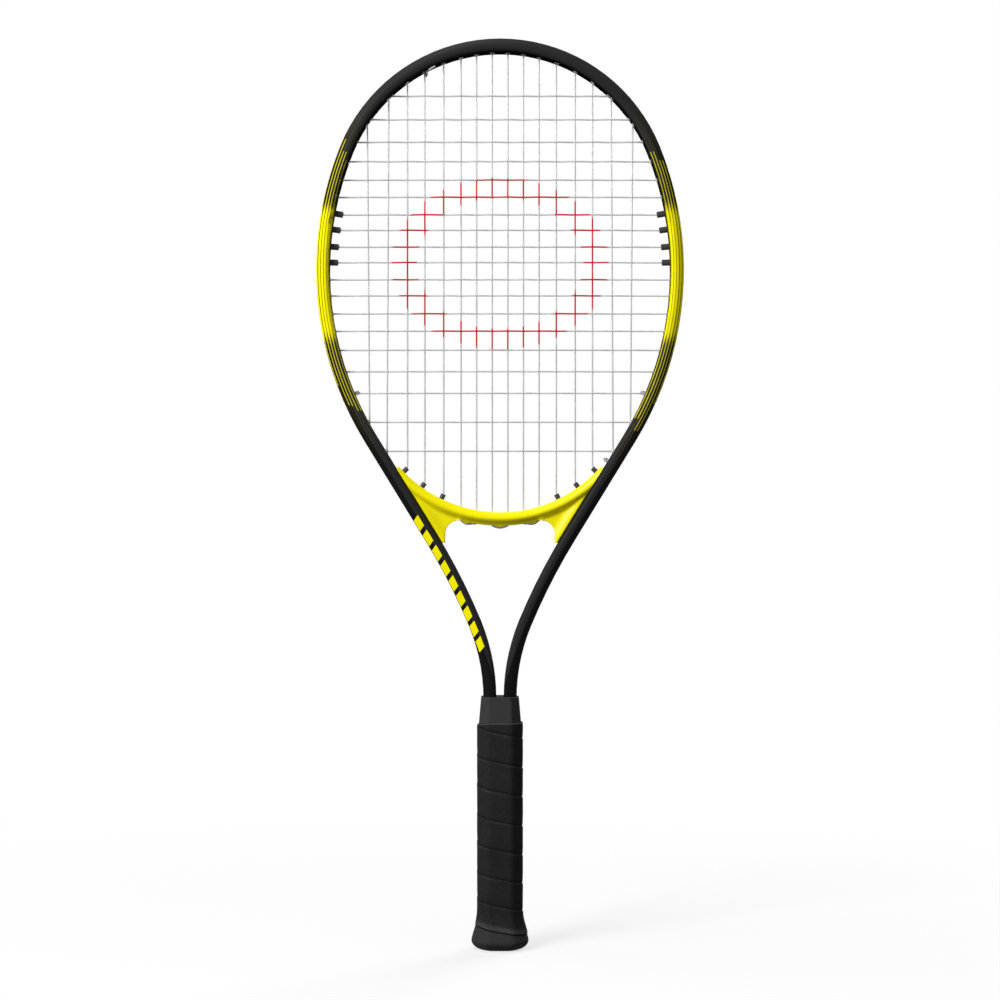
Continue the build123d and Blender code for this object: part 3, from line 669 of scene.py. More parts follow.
def short_noses(tree):
    """Where a grommet strip's short noses stand in the inner wall, as 1."""
    x, _, z = axis_values(tree)
    high, low = CROSS_LEVELS[LONG_NOSED[0] - 1] + 6.0, CROSS_LEVELS[LONG_NOSED[-1] - 1] - 6.0
    outside = calc("MAXIMUM", ramp(z, high, high + 0.5), ramp(z, low, low - 0.5))
    return ramp(hoop_level(x, z), -4.8, -HALF_WIDTH) * outside


class RACKET_OT_hoop(bpy.types.Operator):
    """Paint the hoop: satin enamel, fine stripes that merge into side panels, and marks on one leg"""
    bl_idname = "racket.hoop"
    bl_label = "Hoop enamel"

    def execute(self, context):
        def shine(tree):
            x, _, z = axis_values(tree)
            return ramp(hoop_level(x, z), -4.9, -3.9, 0.0, 0.035)
        dress(grained("striped satin enamel", hoop_colour, (0.38, 0.5), 0.02, scale=1500.0, tint=0.1,
                      specular=shine, edge=0.8), "frame_tube")
        return {"FINISHED"}


class RACKET_OT_grommets(bpy.types.Operator):
    """Finish the grommet strips, the barrels and the clear grommets"""
    bl_idname = "racket.grommets"
    bl_label = "Grommets"

    def execute(self, context):
        def nylon(tree):
            return mix(short_noses(tree), paint_of("nylon"), paint_of("milky"), "RGBA")

        def clear(tree):
            return short_noses(tree) * 0.7
        dress(grained("dark moulded nylon", nylon, (0.4, 0.55), 0.05, specular=0.2, clear=clear),
              "head_grommet_strip", "left_grommet_strip", "right_grommet_strip")
        dress(grained("grey moulded nylon", paint_of("nylon"), (0.4, 0.55), 0.05, specular=0.3),
              "left_bridge_grommets", "right_bridge_grommets")
        dress(grained("milky nylon", paint_of("milky"), (0.25, 0.35), 0.03, tint=0.06, clear=0.7),
              "lower_grommets")
        return {"FINISHED"}


# ---------------------------------------------------------------- throat bridge
TOP_EDGE_DROP = 2.6           # from the ridge's half depth to the top edge's
SCOOP_REACH = 6.5             # from the ridge down to the web
RIM_HALF = 6.6
RIM_FALL = 2.7
RIM_REACH = 10.0              # from the tube in to where the rim has faded
RIDGE_CRISP = 1.4
SADDLES = (0.0, -24.0, 24.0)
WING_START = 33.0             # how far out the wings, and not the saddles, hang below the bar


def bridge_outline():
    """Right half of the bridge's outline, from the top edge's middle round to the underside's middle."""
    wall = -HALF_WIDTH - BRIDGE_FIT
    top = [(TIP_X * step / 40, top_of_bridge(TIP_X * step / 40)) for step in range(41)]
    foot_at = solve(lambda value: BRIDGE_FOOT - spot(value, wall)[1], WIDEST, JOINS[-1])
    along = [spot(BRIDGE_TIP + (foot_at - BRIDGE_TIP) * step / 24, wall) for step in range(25)]
    foot_inner = solve(lambda value: nearest((value, BRIDGE_FOOT))[1] + HALF_WIDTH + BRIDGE_FOOT_GAP,
                       0, along[-1][0])
    under_radius = TOP_RADIUS + BRIDGE_BAR
    under_middle = BRIDGE_RISE - BRIDGE_BAR + under_radius
    # the arch corner is a circle that touches the upright inner edge and the underside's arc
    corner_x = foot_inner - BRIDGE_ARCH_ROUND
    corner_z = under_middle - math.sqrt((under_radius + BRIDGE_ARCH_ROUND) ** 2 - corner_x ** 2)
    touch = math.atan2(corner_x, under_middle - corner_z)
    turns = [(math.pi / 2 + touch) * step / 16 for step in range(17)]
    corner = [(corner_x + BRIDGE_ARCH_ROUND * math.cos(turn), corner_z + BRIDGE_ARCH_ROUND * math.sin(turn))
              for turn in turns]
    places = [corner[-1][0] * (1 - step / 24) for step in range(1, 25)]
    under = [(x, under_middle - math.sqrt(under_radius ** 2 - x ** 2)) for x in places]
    return top + along + [(foot_inner, BRIDGE_FOOT)] + corner + under


def below_bridge_top(x, z):
    """How far a place is below the bridge's top edge."""
    return math.hypot(x, z - BRIDGE_RISE - TOP_RADIUS) - TOP_RADIUS


def bridge_half_depth(x, z):
    """Half the bridge's front-to-back size at a place, thickest along its ridge and its rim at the tube."""
    ridge = size_of("ridge_drop")
    web = size_of("web_half")
    below = below_bridge_top(x, z)
    if below < ridge:
        top = BRIDGE_HALF - TOP_EDGE_DROP * max((ridge - below) / ridge, 0.0) ** 2
    else:
        top = BRIDGE_HALF - (BRIDGE_HALF - web) * smoothstep((below - ridge) / SCOOP_REACH)
    side_x, side_z, _ = follow(JOINS[1])
    inward = -((abs(x) - side_x) * math.sin(STRAIGHT_HEADING) + (z - side_z) * math.cos(STRAIGHT_HEADING))
    inward -= HALF_WIDTH + BRIDGE_FIT
    rim = RIM_HALF - RIM_FALL * smoothstep((inward - 0.5) / RIM_REACH) - 1.2 * max(0.9 - inward, 0.0)
    return math.log(math.exp(RIDGE_CRISP * top) + math.exp(RIDGE_CRISP * rim)) / RIDGE_CRISP


def saddle_centre(middle):
    """Height of a saddle's centre."""
    return top_of_bridge(middle) - BRIDGE_BAR - SADDLE_DROP + SADDLE_RADIUS


def block_between(outline, half):
    """Points and faces of a flat outline made half as thick each way."""
    count = len(outline)
    points = [(x, side * half, z) for side in (-1, 1) for x, z in outline]
    faces = [tuple(range(count)), tuple(reversed(range(count, 2 * count)))]
    faces += [(index, index + count, (index + 1) % count + count, (index + 1) % count)
              for index in range(count)]
    return points, faces


def remeshed(piece, voxel, rounds):
    """Replaces a piece's mesh with an even one, smoothed a little."""
    modifier = piece.modifiers.new("even mesh", "REMESH")
    modifier.mode = "VOXEL"
    modifier.voxel_size = voxel
    bpy.context.view_layer.update()
    seen = piece.evaluated_get(bpy.context.evaluated_depsgraph_get())
    mesh = bpy.data.meshes.new_from_object(seen)
    piece.modifiers.clear()
    material = piece.data.materials[0]
    piece.data = mesh
    mesh.materials.clear()
    mesh.materials.append(material)
    shape = bmesh.new()
    shape.from_mesh(mesh)
    for _ in range(rounds):
        bmesh.ops.smooth_vert(shape, verts=shape.verts, factor=0.5, use_axis_x=True, use_axis_y=True,
                              use_axis_z=True)
    shape.to_mesh(mesh)
    shape.free()
    mesh.polygons.foreach_set("use_smooth", [True] * len(mesh.polygons))


class RACKET_OT_bridge(bpy.types.Operator):
    """Mould the throat bridge: ridged bar, scooped wings with a rim along the tube, and string saddles"""
    bl_idname = "racket.bridge"
    bl_label = "Throat bridge"

    def execute(self, context):
        right = bridge_outline()
        parts = [block_between(right + [(-x, z) for x, z in reversed(right[1:-1])], BRIDGE_HALF)]
        for middle in SADDLES:
            centre = saddle_centre(middle)
            turns = [math.radians(turn) for turn in range(45, -46, -5)]
            ring = [(middle + SADDLE_RADIUS * math.sin(turn), centre - SADDLE_RADIUS * math.cos(turn))
                    for turn in turns]
            parts.append(block_between(ring, SADDLE_HALF))
        nylon = grained("yellow moulded nylon", paint_of("bridge"), (0.22, 0.32), 0.02, scale=700.0,
                        tint=0.06, specular=0.15)
        piece = mesh_object("throat_bridge_moulding", *merge(parts), nylon)
        remeshed(piece, size_of("bridge_voxel") * MM, 2)
        for vertex in piece.data.vertices:
            x, y, z = (value / MM for value in vertex.co)
            if below_bridge_top(x, z) < BRIDGE_BAR + 0.2 or abs(x) > WING_START:
                vertex.co.y *= bridge_half_depth(x, z) / BRIDGE_HALF
        piece.data.update()
        finish_piece(piece, "bridge_nylon", "throat_bridge")
        return {"FINISHED"}


# ---------------------------------------------------------------- strings
MOUTH_BEND = 4.0
GROOVE_BEND = 1.5
GROOVE_STEP = 9.0
RUN_OUT = 14.0                # from the last crossing to where a string is back in its layer
ABOVE_BAR = 1.0
BELOW_BAR = 0.3
BARREL_LENGTH = 11.4
RING_MIDDLE = 526.5
RING_HALF_WIDE = 85.0
RING_HALF_HIGH = 67.0


def sag_of_cross(x):
    """How far a cross stands above its hole's level."""
    return 0.15 * (1 - (x / 120.0) ** 2)


def main_place(number, z):
    """Place across of a main at a height; the two outer mains lean to the holes they share."""
    order = abs(number)
    x = MAIN_SPOTS[order - 1]
    if order > 6:
        top = mouth(MAIN_HOLES[order - 1])[1]
        foot_x, foot_z = mouth(SHARED_HOLES[8 - order])
        x += (foot_x - x) * (top - z) / (top - foot_z)
    return math.copysign(x, number)


def main_wave(number, z):
    """Forward place of a main at a height inside the bed."""
    rise = sag_of_cross(MAIN_SPOTS[abs(number) - 1])
    levels = [-level - rise for level in CROSS_LEVELS]
    return wave(levels, -z, order_of(number), size_of("main_wave"), -LAYER)


def cross_wave(number, x):
    """Forward place of a cross at a place across the bed."""
    spots = [-place for place in reversed(MAIN_SPOTS)] + MAIN_SPOTS
    return wave(spots, x, number, -size_of("cross_wave"), LAYER)


def order_of(number):
    """Place of a signed main in the row from left to right."""
    return number + 8 if number < 0 else number + 7


def wave(places, at, first, rise, rest):
    """Swings forward and back between crossings, and returns to its resting layer outside them."""
    swing = [rise * (-1) ** (first + index) for index in range(len(places))]
    if at <= places[0]:
        return swing[0] + (rest - swing[0]) * smoothstep((places[0] - at) / RUN_OUT)
    if at >= places[-1]:
        return swing[-1] + (rest - swing[-1]) * smoothstep((at - places[-1]) / RUN_OUT)
    index = max(count for count, place in enumerate(places) if place <= at)
    share = (at - places[index]) / (places[index + 1] - places[index])
    return swing[index] * math.cos(math.pi * share)


def inside(number, start, end):
    """Points of a main through the bed, between two heights."""
    steps = max(int(abs(end - start) / 2.2), 4)
    heights = [start + (end - start) * step / steps for step in range(1, steps)]
    return [((main_place(number, z), main_wave(number, z), z), 0) for z in heights]


def over(number, start, end):
    """Points of a cross through the bed, between two places."""
    level = CROSS_LEVELS[number - 1]
    steps = max(int(abs(end - start) / 2.0), 4)
    places = [start + (end - start) * step / steps for step in range(1, steps)]
    return [((x, cross_wave(number, x), level + sag_of_cross(x)), 0) for x in places]


def lay(point, layer):
    """Point of the frame's plane moved to a string's layer."""
    return point[0], layer, point[1]


def through(distance, nose, layer):
    """From a barrel's mouth out to the groove."""
    return [(lay(mouth(distance, nose), layer), MOUTH_BEND),
            (lay(spot(distance, GROOVE_LEVEL), layer), GROOVE_BEND)]


def along_groove(first, last, layer):
    """Points between two holes that follow the groove."""
    steps = int(abs(last - first) // GROOVE_STEP)
    shares = [count / (steps + 1) for count in range(1, steps + 1)]
    return [(lay(spot(first + share * (last - first), GROOVE_LEVEL), layer), 0) for share in shares]


def under_bar(inner, outer):
    """Loop below the bar, over the saddle between two mains."""
    middle = (inner + outer) / 2
    centre = saddle_centre(middle)
    reach = SADDLE_RADIUS + size_of("string") / 2
    turns = [math.radians(turn) for turn in (-18, -9, 0, 9, 18)]
    arc = [((middle + reach * math.sin(turn), -LAYER, centre - reach * math.cos(turn)), 0) for turn in turns]
    ends = []
    for x in (inner, outer):
        ends.append([((x, -LAYER, top_of_bridge(x) + ABOVE_BAR), MOUTH_BEND),
                     ((x, -LAYER, top_of_bridge(x) - BRIDGE_BAR - BELOW_BAR), GROOVE_BEND)])
    return ends[0] + arc + ends[1][::-1]


def main_half(side):
    """Half of the main string, from its lowest loop's middle to its knot, on one side."""
    def flip(route):
        return [((side * x, y, z), bend) for (x, y, z), bend in route]

    def hole(distance):
        return through(distance, SHORT_NOSE, -LAYER)

    def groove(first, last):
        return along_groove(first, last, -LAYER)

    def barrel(index, distance, bend):
        return [(lay(down_from(MAIN_SPOTS[index], distance), -LAYER), bend)]

    def top_of_barrel(index):
        return down_from(MAIN_SPOTS[index], 0)[1]

    bar_ends = [top_of_bridge(x) + ABOVE_BAR for x in MAIN_SPOTS[:3]]
    shared_first, shared_last = SHARED_HOLES
    # after each pair of mains: where the outer one ends, its turn at the foot, and where the next begins
    turns = [
        (bar_ends[1], under_bar(*MAIN_SPOTS[1:3]), bar_ends[2]),
        (top_of_barrel(3), barrel(3, 0, MOUTH_BEND) + barrel(3, BARREL_LENGTH, GROOVE_BEND)
         + barrel(4, BARREL_LENGTH, GROOVE_BEND) + barrel(4, 0, MOUTH_BEND), top_of_barrel(4)),
        (top_of_barrel(5), barrel(5, 0, MOUTH_BEND) + barrel(5, TIP_OUT, GROOVE_BEND)
         + groove(TIP_HOLE, shared_last) + hole(shared_last)[::-1], mouth(shared_last)[1]),
        (mouth(shared_first)[1], hole(shared_first) + groove(shared_first, TIE_HOLE)
         + hole(TIE_HOLE)[::-1], None),
    ]
    route = flip(under_bar(-MAIN_SPOTS[0], MAIN_SPOTS[0])[4:])
    foot = bar_ends[0]
    for pair, (end, turn, start) in enumerate(turns):
        inner, outer = MAIN_HOLES[2 * pair:2 * pair + 2]
        route += inside(side * (2 * pair + 1), foot, mouth(inner)[1])
        route += flip(hole(inner) + groove(inner, outer) + hole(outer)[::-1])
        route += inside(side * (2 * pair + 2), mouth(outer)[1], end)
        route += flip(turn)
        foot = start
    return route + flip([(lay(mouth(TIE_HOLE, SHORT_NOSE + KNOT_REACH), -LAYER), 0)])


def cross_route():
    """The whole cross string, from its knot at the top left to its knot below the last cross."""
    route = [(lay(mouth(-KNOT_HOLE, SHORT_NOSE + KNOT_REACH), LAYER), 0)]
    route += through(-KNOT_HOLE, SHORT_NOSE, LAYER)
    route += along_groove(-KNOT_HOLE, -CROSS_HOLES[0], LAYER)
    side = -1
    for number, hole in enumerate(CROSS_HOLES, 1):
        nose = nose_of(number)
        reach = abs(mouth(hole, nose)[0])
        route += through(side * hole, nose, LAYER)[::-1]
        route += over(number, side * reach, -side * reach)
        side = -side
        route += through(side * hole, nose, LAYER)
        if number < len(CROSS_HOLES):
            route += along_groove(side * hole, side * CROSS_HOLES[number], LAYER)
    route += along_groove(SHARED_HOLES[1], END_HOLE, LAYER)
    route += through(END_HOLE, SHORT_NOSE, LAYER)[::-1]
    return route + [(lay(mouth(END_HOLE, SHORT_NOSE + KNOT_REACH), LAYER), 0)]


def eased(route):
    """Path of a route whose corners are eased to the bends they are given."""
    points = [Vector(point) for point, _ in route]
    path = [points[0]]
    for index in range(1, len(points) - 1):
        before, here, after = points[index - 1:index + 2]
        back, ahead = before - here, after - here
        turn = math.pi - back.angle(ahead, math.pi)
        bend = route[index][1]
        if turn < math.radians(4) or not bend:
            path.append(here)
            continue
        reach = min(bend * math.tan(turn / 2), 0.45 * min(back.length, ahead.length))
        start, end = here + back.normalized() * reach, here + ahead.normalized() * reach
        for step in range(7):
            share = step / 6
            path.append((1 - share) ** 2 * start + 2 * share * (1 - share) * here + share ** 2 * end)
    path.append(points[-1])
    kept = [path[0]]
    for point in path[1:]:
        if (point - kept[-1]).length > 0.02:
            kept.append(point)
    return kept


def overhand_knot(centre):
    """Points and faces of a pulled-tight knot."""
    wide = 0.36 * KNOT_RADIUS
    turns = [2 * math.pi * step / 60 for step in range(61)]
    path = [(centre[0] + wide * (math.sin(turn) + 2 * math.sin(2 * turn)),
             centre[1] + 1.1 * wide * math.sin(3 * turn),
             centre[2] + wide * (math.cos(turn) - 2 * math.cos(2 * turn))) for turn in turns]
    return tube_along(path, size_of("string") * 0.46, capped=False)


def string_colour(tree):
    """Grey monofilament with a plain oval ring inked on the front of the bed."""
    x, y, z = axis_values(tree)
    fray = noise(tree, Scale=900.0, Detail=2.0)
    from_middle = hypotenuse(x * (1.0 / RING_HALF_WIDE), (z - RING_MIDDLE) * (1.0 / RING_HALF_HIGH))
    edge = from_middle + (fray - 0.5) * 0.05
    ring = ramp(edge, 0.74, 0.765) * ramp(edge, 1.0, 0.975)
    front = ramp(y + fray * 0.6, 1.5, 1.1)
    return mix(ring * front, paint_of("string"), paint_of("ink"), "RGBA")


class RACKET_OT_strings(bpy.types.Operator):
    """String the racket: two strings woven over and under each other, tied off with knots"""
    bl_idname = "racket.strings"
    bl_label = "Woven strings"

    def execute(self, context):
        radius = size_of("string") / 2
        nylon = grained("string monofilament", string_colour, (0.22, 0.34), 0.01, scale=2400.0, tint=0.1,
                        specular=0.18, clear=0.35)
        tail = [lay(spot(-KNOT_HOLE + size_of("tail") * share, -HALF_WIDTH - 1.5 + 0.7 * share),
                    LAYER - 8.0 * smoothstep(share * 2.0)) for share in (step / 12 for step in range(13))]
        strings = (("main", main_half(-1)[::-1] + main_half(1), []), ("cross", cross_route(), [tail]))
        for name, route, tails in strings:
            path = eased(route)
            parts = [tube_along(path, radius), overhand_knot(path[0]), overhand_knot(path[-1])]
            parts += [tube_along(tail, radius) for tail in tails]
            piece = mesh_object(f"{name}_string_woven", *merge(parts), nylon)
            finish_piece(piece, "string_nylon", f"{name}_string")
        return {"FINISHED"}


# ---------------------------------------------------------------- handle
RING = 240                    # points around each section
WRAP_PITCH = 21.8
WRAP_ROWS = 300
SOFT_CORNERS = 22.0
BUTT_CORNERS = 16.0
COLLAR_CORNERS = 70.0
COLLAR_FOOT = (32.8, 28.4, 7.4)       # width, depth and bevel
COLLAR_HEAD = (29.0, 24.6, 6.2)


def section_point(turn, width, depth, bevel, crisp):
    """Point of a bevelled, softened rectangle in a direction from its middle."""
    cosine, sine = math.cos(turn), math.sin(turn)
    reach = width / 2 + depth / 2 - bevel
    total_share = (abs(cosine) / (width / 2)) ** crisp + (abs(sine) / (depth / 2)) ** crisp
    total_share += ((abs(cosine) + abs(sine)) / reach) ** crisp
    radius = total_share ** (-1.0 / crisp)
    return radius * cosine, radius * sine


def grip_section(turn, width, crisp=SOFT_CORNERS):
    """Point of the grip's section, as wide as asked."""
    less = GRIP_WIDTH - width
    bevel = GRIP_BEVEL - (2 - math.sqrt(2)) * less / 2
    return section_point(turn, width, GRIP_DEPTH - less, bevel, crisp)


def turns_of_ring():
    """Directions round the handle, from the left edge across the front, and each one's share of the way."""
    turns = [math.pi + 2 * math.pi * step / RING for step in range(RING)]
    places = [Vector(grip_section(turn, GRIP_WIDTH)) for turn in turns]
    ways = [0.0]
    for index in range(RING):
        ways.append(ways[-1] + (places[(index + 1) % RING] - places[index]).length)
    return turns, [way / ways[-1] for way in ways[:-1]]


def turns_wound(z):
    """Turns of the wrap below a height at the handle's left edge."""
    count = 1
    while count < len(SEAM_HEIGHTS) - 1 and z > SEAM_HEIGHTS[count]:
        count += 1
    low, high = SEAM_HEIGHTS[count - 1:count + 1]
    return count - 1 + (z - low) / (high - low)


def over_seam(share, z):
    """Turns of the wrap below a place, and its distances from the seam under it and from the next."""
    turn = turns_wound(z) + share
    above = turn % 1.0 * WRAP_PITCH
    return turn, above, WRAP_PITCH - above


def dip(distance, width):
    """A bell from 1 down to 0."""
    return math.exp(-(distance / width) ** 2)


def wrap_offset(share, z):
    """How far the wrap's face stands out beside its seams."""
    _, above, below = over_seam(share, z)
    step = size_of("wrap_step")
    offset = 0.16 * math.sin(math.pi * above / WRAP_PITCH) ** 0.7
    offset -= step * dip(above, 0.9) + 0.22 * math.exp(-above / 2.6)
    return offset + 0.3 * math.exp(-below / 2.4) - (step + 0.1) * dip(below, 0.45)


def wrap_shade(share, z):
    """How light the leather is: painted shade in and beside a seam, a thin lighter line just below a seam,
    and a painted sheen on the flare.
    """
    turn, above, below = over_seam(share, z)
    patchy = 0.6 + 0.4 * math.sin(23 * share + 2.1 * turn)
    # painted shade on both sides of each seam, and a thin lighter line just below each seam
    shade = 1.0 - 0.72 * dip(above, 0.55) - 0.55 * dip(below, 0.5) + 0.9 * patchy * dip(below - 1.3, 0.55)
    # painted sheen on the flare, in the first turn
    if turn < 1.0:
        shade += 1.5 * smoothstep((7.5 - above) / 3.0) * smoothstep((above - 0.5) / 1.5)
    return shade


def ripple(share, z):
    """Small creases of the leather, strongest where it is stretched over the flare."""
    flare = math.exp(-((z - 18.0) / 7.0) ** 2)
    turn = 2 * math.pi * share
    even = 0.04 * math.sin(5 * turn + 0.11 * z) * math.sin(0.31 * z + 2 * turn)
    return even + flare * 0.11 * math.sin(19 * turn + 0.5 * z + 2 * math.sin(3 * turn))


def wrap_top(share):
    """Height of the wrap's rolled top edge."""
    return GRIP_TOP + 0.9 + 1.8 * smoothstep((share - 0.03) / 0.16) * smoothstep((1.0 - share) / 0.3)


def wrap_foot(share):
    """Height of the wrap's lower edge on the butt cap."""
    return SEAM_HEIGHTS[0] - 6.6 * smoothstep(share / 0.42) * smoothstep((1.0 - share) / 0.45)


class RACKET_OT_wrap(bpy.types.Operator):
    """Wrap the handle: one strip wound in overlapping turns, with rolled edges and creases on the flare"""
    bl_idname = "racket.wrap"
    bl_label = "Grip wrap"

    def execute(self, context):
        turns, shares = turns_of_ring()
        roll = size_of("wrap_roll")
        rings, shades = [], []

        # rings given no shading of their own are painted at 0.4: painted shade on the rolled foot and the
        # tucked-in ends
        def ring(height_of, inset_of, shade_of=lambda share, z: 0.4):
            points = []
            for turn, share in zip(turns, shares):
                z = height_of(share)
                width = curve_through(FLARE, z) + 2 * inset_of(share, z)
                points.append((*grip_section(turn, width), z))
                shades.append(shade_of(share, z))
            rings.append(points)
        quarter = [math.pi / 2 * step / 6 for step in range(7)]
        ring(lambda share: wrap_foot(share) + 1.6, lambda share, z: -2.2)
        for bend in quarter:
            ring(lambda share: wrap_foot(share) + roll * (1 - math.cos(bend)),
                 lambda share, z: roll * (math.sin(bend) - 1) + wrap_offset(share, z) * math.sin(bend))
        for row in range(1, WRAP_ROWS):
            ring(lambda share: wrap_foot(share) + roll
                 + row / WRAP_ROWS * (wrap_top(share) - wrap_foot(share) - 2 * roll),
                 lambda share, z: wrap_offset(share, z) + ripple(share, z), wrap_shade)
        for bend in quarter:
            # the rolled top edge is painted lighter toward its top
            ring(lambda share: wrap_top(share) - roll * (1 - math.sin(bend)),
                 lambda share, z: 0.15 + roll * (math.cos(bend) - 1),
                 lambda share, z: 1.0 + 2.6 * math.sin(bend))
        ring(lambda share: wrap_top(share) - 1.5, lambda share, z: -2.6)
        leather = grained("black grip leather", leather_colour, (0.55, 0.72), 0.12, scale=1500.0, tint=0.35,
                          specular=0.02, polish=0.7, edge=0.85)
        piece = mesh_object("grip_wrap_leather", *skin(rings), leather)
        # the painted light and shade ride on the mesh as its 'shade' values
        piece.data.attributes.new("shade", "FLOAT", "POINT").data.foreach_set("value", shades)
        finish_piece(piece, "grip_leather", "grip_wrap")
        return {"FINISHED"}


def leather_colour(tree):
    """Leather whose pores are darker than its pebbles, times the painted light and shade kept on the wrap's
    points.
    """
    pores = add_node(tree, "ShaderNodeTexVoronoi", {"Vector": place_on(tree), "Scale": 1150.0},
                     feature="DISTANCE_TO_EDGE")
    # painted light and shade from the wrap's 'shade' values: dark along each seam, lighter on the flare and
    # the rolled top
    painted_light_and_shade = Value(add_node(tree, "ShaderNodeAttribute", attribute_name="shade").outputs["Fac"])
    depth = ramp(Value(pores.outputs["Distance"]), 0.02, 0.22, 0.55, 1.15) * painted_light_and_shade
    return scaled(paint_of("leather")[:3], depth)


class RACKET_OT_collar(bpy.types.Operator):
    """Shape the rubber collar at the handle's top, with a chamfered rim"""
    bl_idname = "racket.collar"
    bl_label = "Collar"

    def execute(self, context):
        turns, _ = turns_of_ring()
        rim = size_of("collar_rim")
        low, high = GRIP_TOP - 1.2, COLLAR_TOP
        rows = [(low, -1.0), (low, -0.2)]
        rows += [(low + (high - rim - low) * step / 24, 0.0) for step in range(1, 25)]
        rows += [(high - down * rim, -inset * rim)
                 for down, inset in ((0.75, 0.1), (0.35, 0.42), (0.08, 0.85), (0.0, 1.1), (0.0, 2.0))]
        rings = []
        for z, inset in rows:
            share = (z - GRIP_TOP) / (COLLAR_TOP - GRIP_TOP)
            width, depth, bevel = (foot + (head - foot) * share
                                   for foot, head in zip(COLLAR_FOOT, COLLAR_HEAD))
            section = width + 2 * inset, depth + 2 * inset, bevel, COLLAR_CORNERS
            rings.append([(*section_point(turn, *section), z) for turn in turns])
        rubber = grained("collar rubber", paint_of("collar"), (0.5, 0.62), 0.05, scale=1100.0, tint=0.2,
                         specular=0.02, polish=0.8, edge=0.8)
        piece = mesh_object("rubber_collar", *skin(rings), rubber)
        finish_piece(piece, "collar_rubber", "grip_collar")
        return {"FINISHED"}


class RACKET_OT_butt(bpy.types.Operator):
    """Shape the flared butt cap with its round port, and finish the plug"""
    bl_idname = "racket.butt"
    bl_label = "Butt cap"

    def execute(self, context):
        turns, _ = turns_of_ring()

        def ring(section, z):
            return [(*section(turn), z) for turn in turns]

        def round_port(radius):
            return lambda turn: (radius * math.cos(turn), radius * math.sin(turn))

        def foot(share):
            inner, outer = round_port(PORT_RADIUS + 0.5), FLARE[0][1]
            return lambda turn: tuple((1 - share) * near + share * far
                                      for near, far in zip(inner(turn), grip_section(turn, outer)))
        port = [(6.0, 0.0), (0.5, 0.0), (0.15, 0.15), (0.0, 0.5)]
        rings = [ring(round_port(PORT_RADIUS + wider), z) for z, wider in port]
        rings += [ring(foot(share), 0.0) for share in (0.3, 0.65)]
        heights = [0.0, 0.15, 0.35, 0.7] + [1.2 + 0.6 * step for step in range(30)]
        for z in heights:
            width = curve_through(FLARE, z) - 1.1 * smoothstep((z - 6.0) / 4.0)
            rings.append(ring(lambda turn: grip_section(turn, width, BUTT_CORNERS), z))
        rings += [ring(lambda turn: grip_section(turn, 30.0), z) for z in (heights[-1], 6.0)]
        points, faces = skin(rings + rings[:1], capped=False)
        points = points[:-RING]
        faces = [tuple(index % len(points) for index in face) for face in faces]
        rubber = grained("butt cap rubber", paint_of("rubber"), (0.48, 0.62), 0.06, scale=900.0, tint=0.22,
                         specular=0.02, polish=0.5, edge=0.85)
        finish_piece(mesh_object("butt_cap_rubber", points, faces, rubber), "butt_rubber", "butt_cap")
        dress(grained("plug plastic", paint_of("nylon"), (0.35, 0.5), 0.04, specular=0.4), "butt_plug")
        return {"FINISHED"}


class RACKET_OT_core(bpy.types.Operator):
    """Finish what the wrap hides: the foam shells, their screws and the cap's staples"""
    bl_idname = "racket.core"
    bl_label = "Handle core"

    def execute(self, context):
        dress(grained("rigid foam", paint_of("foam"), (0.65, 0.85), 0.3, scale=1300.0, tint=0.3),
              "front_handle_shell", "back_handle_shell")
        dress(grained("zinc plated steel", (0.55, 0.55, 0.56, 1.0), (0.28, 0.42), 0.01, metallic=1.0),
              "handle_screws", "butt_cap_staples")
        return {"FINISHED"}


# ---------------------------------------------------------------- stage
CAMERA_DISTANCE = 1.9
CAMERA_HEIGHT = 0.3447
VIEW_WIDTH = 0.769            # of the racket's plane that the camera takes in
FLOOR_REACH = 30.0
FLOOR_FADE = (200.0, 900.0)   # radii between which the floor turns from pale to white
FILL = 0.13
LIGHTS = (("key light", (-1.7, -2.1, 1.9), 1.3, 118.0), ("top light", (-0.5, -0.1, 2.6), 1.0, 22.0),
          ("back light", (1.4, 2.2, 1.6), 1.4, 60.0))
LIT_POINT = Vector((0, 0, 0.4))


def ray_is(tree, *kinds):
    """1 where the ray is of one of the kinds."""
    seen = add_node(tree, "ShaderNodeLightPath")
    found = Value(seen.outputs[f"Is {kinds[0]} Ray"])
    for kind in kinds[1:]:
        found = calc("MAXIMUM", found, Value(seen.outputs[f"Is {kind} Ray"]))
    return found


def floor_material():
    """Pale floor that turns white to the camera further out, and throws little light back."""
    material, tree, shader = new_material("pale floor")
    shader.inputs["Roughness"].default_value = 0.8
    shader.inputs["Specular IOR Level"].default_value = 0.1
    put(shader.inputs["Base Color"],
        mix(ray_is(tree, "Diffuse"), paint_of("floor"), (0.12, 0.12, 0.12, 1.0), "RGBA"))
    x, y, _ = axis_values(tree)
    far = ramp(hypotenuse(x, y), *FLOOR_FADE, 0.7, 1.0)
    glow = add_node(tree, "ShaderNodeEmission", {"Color": WHITE, "Strength": 1.0})
    mixed = add_node(tree, "ShaderNodeMixShader",
                     {0: ray_is(tree, "Camera", "Glossy") * far, 1: Value(shader.outputs[0]),
                      2: Value(glow.outputs[0])})
    put(tree.nodes["Material Output"].inputs["Surface"], Value(mixed.outputs[0]))
    return material


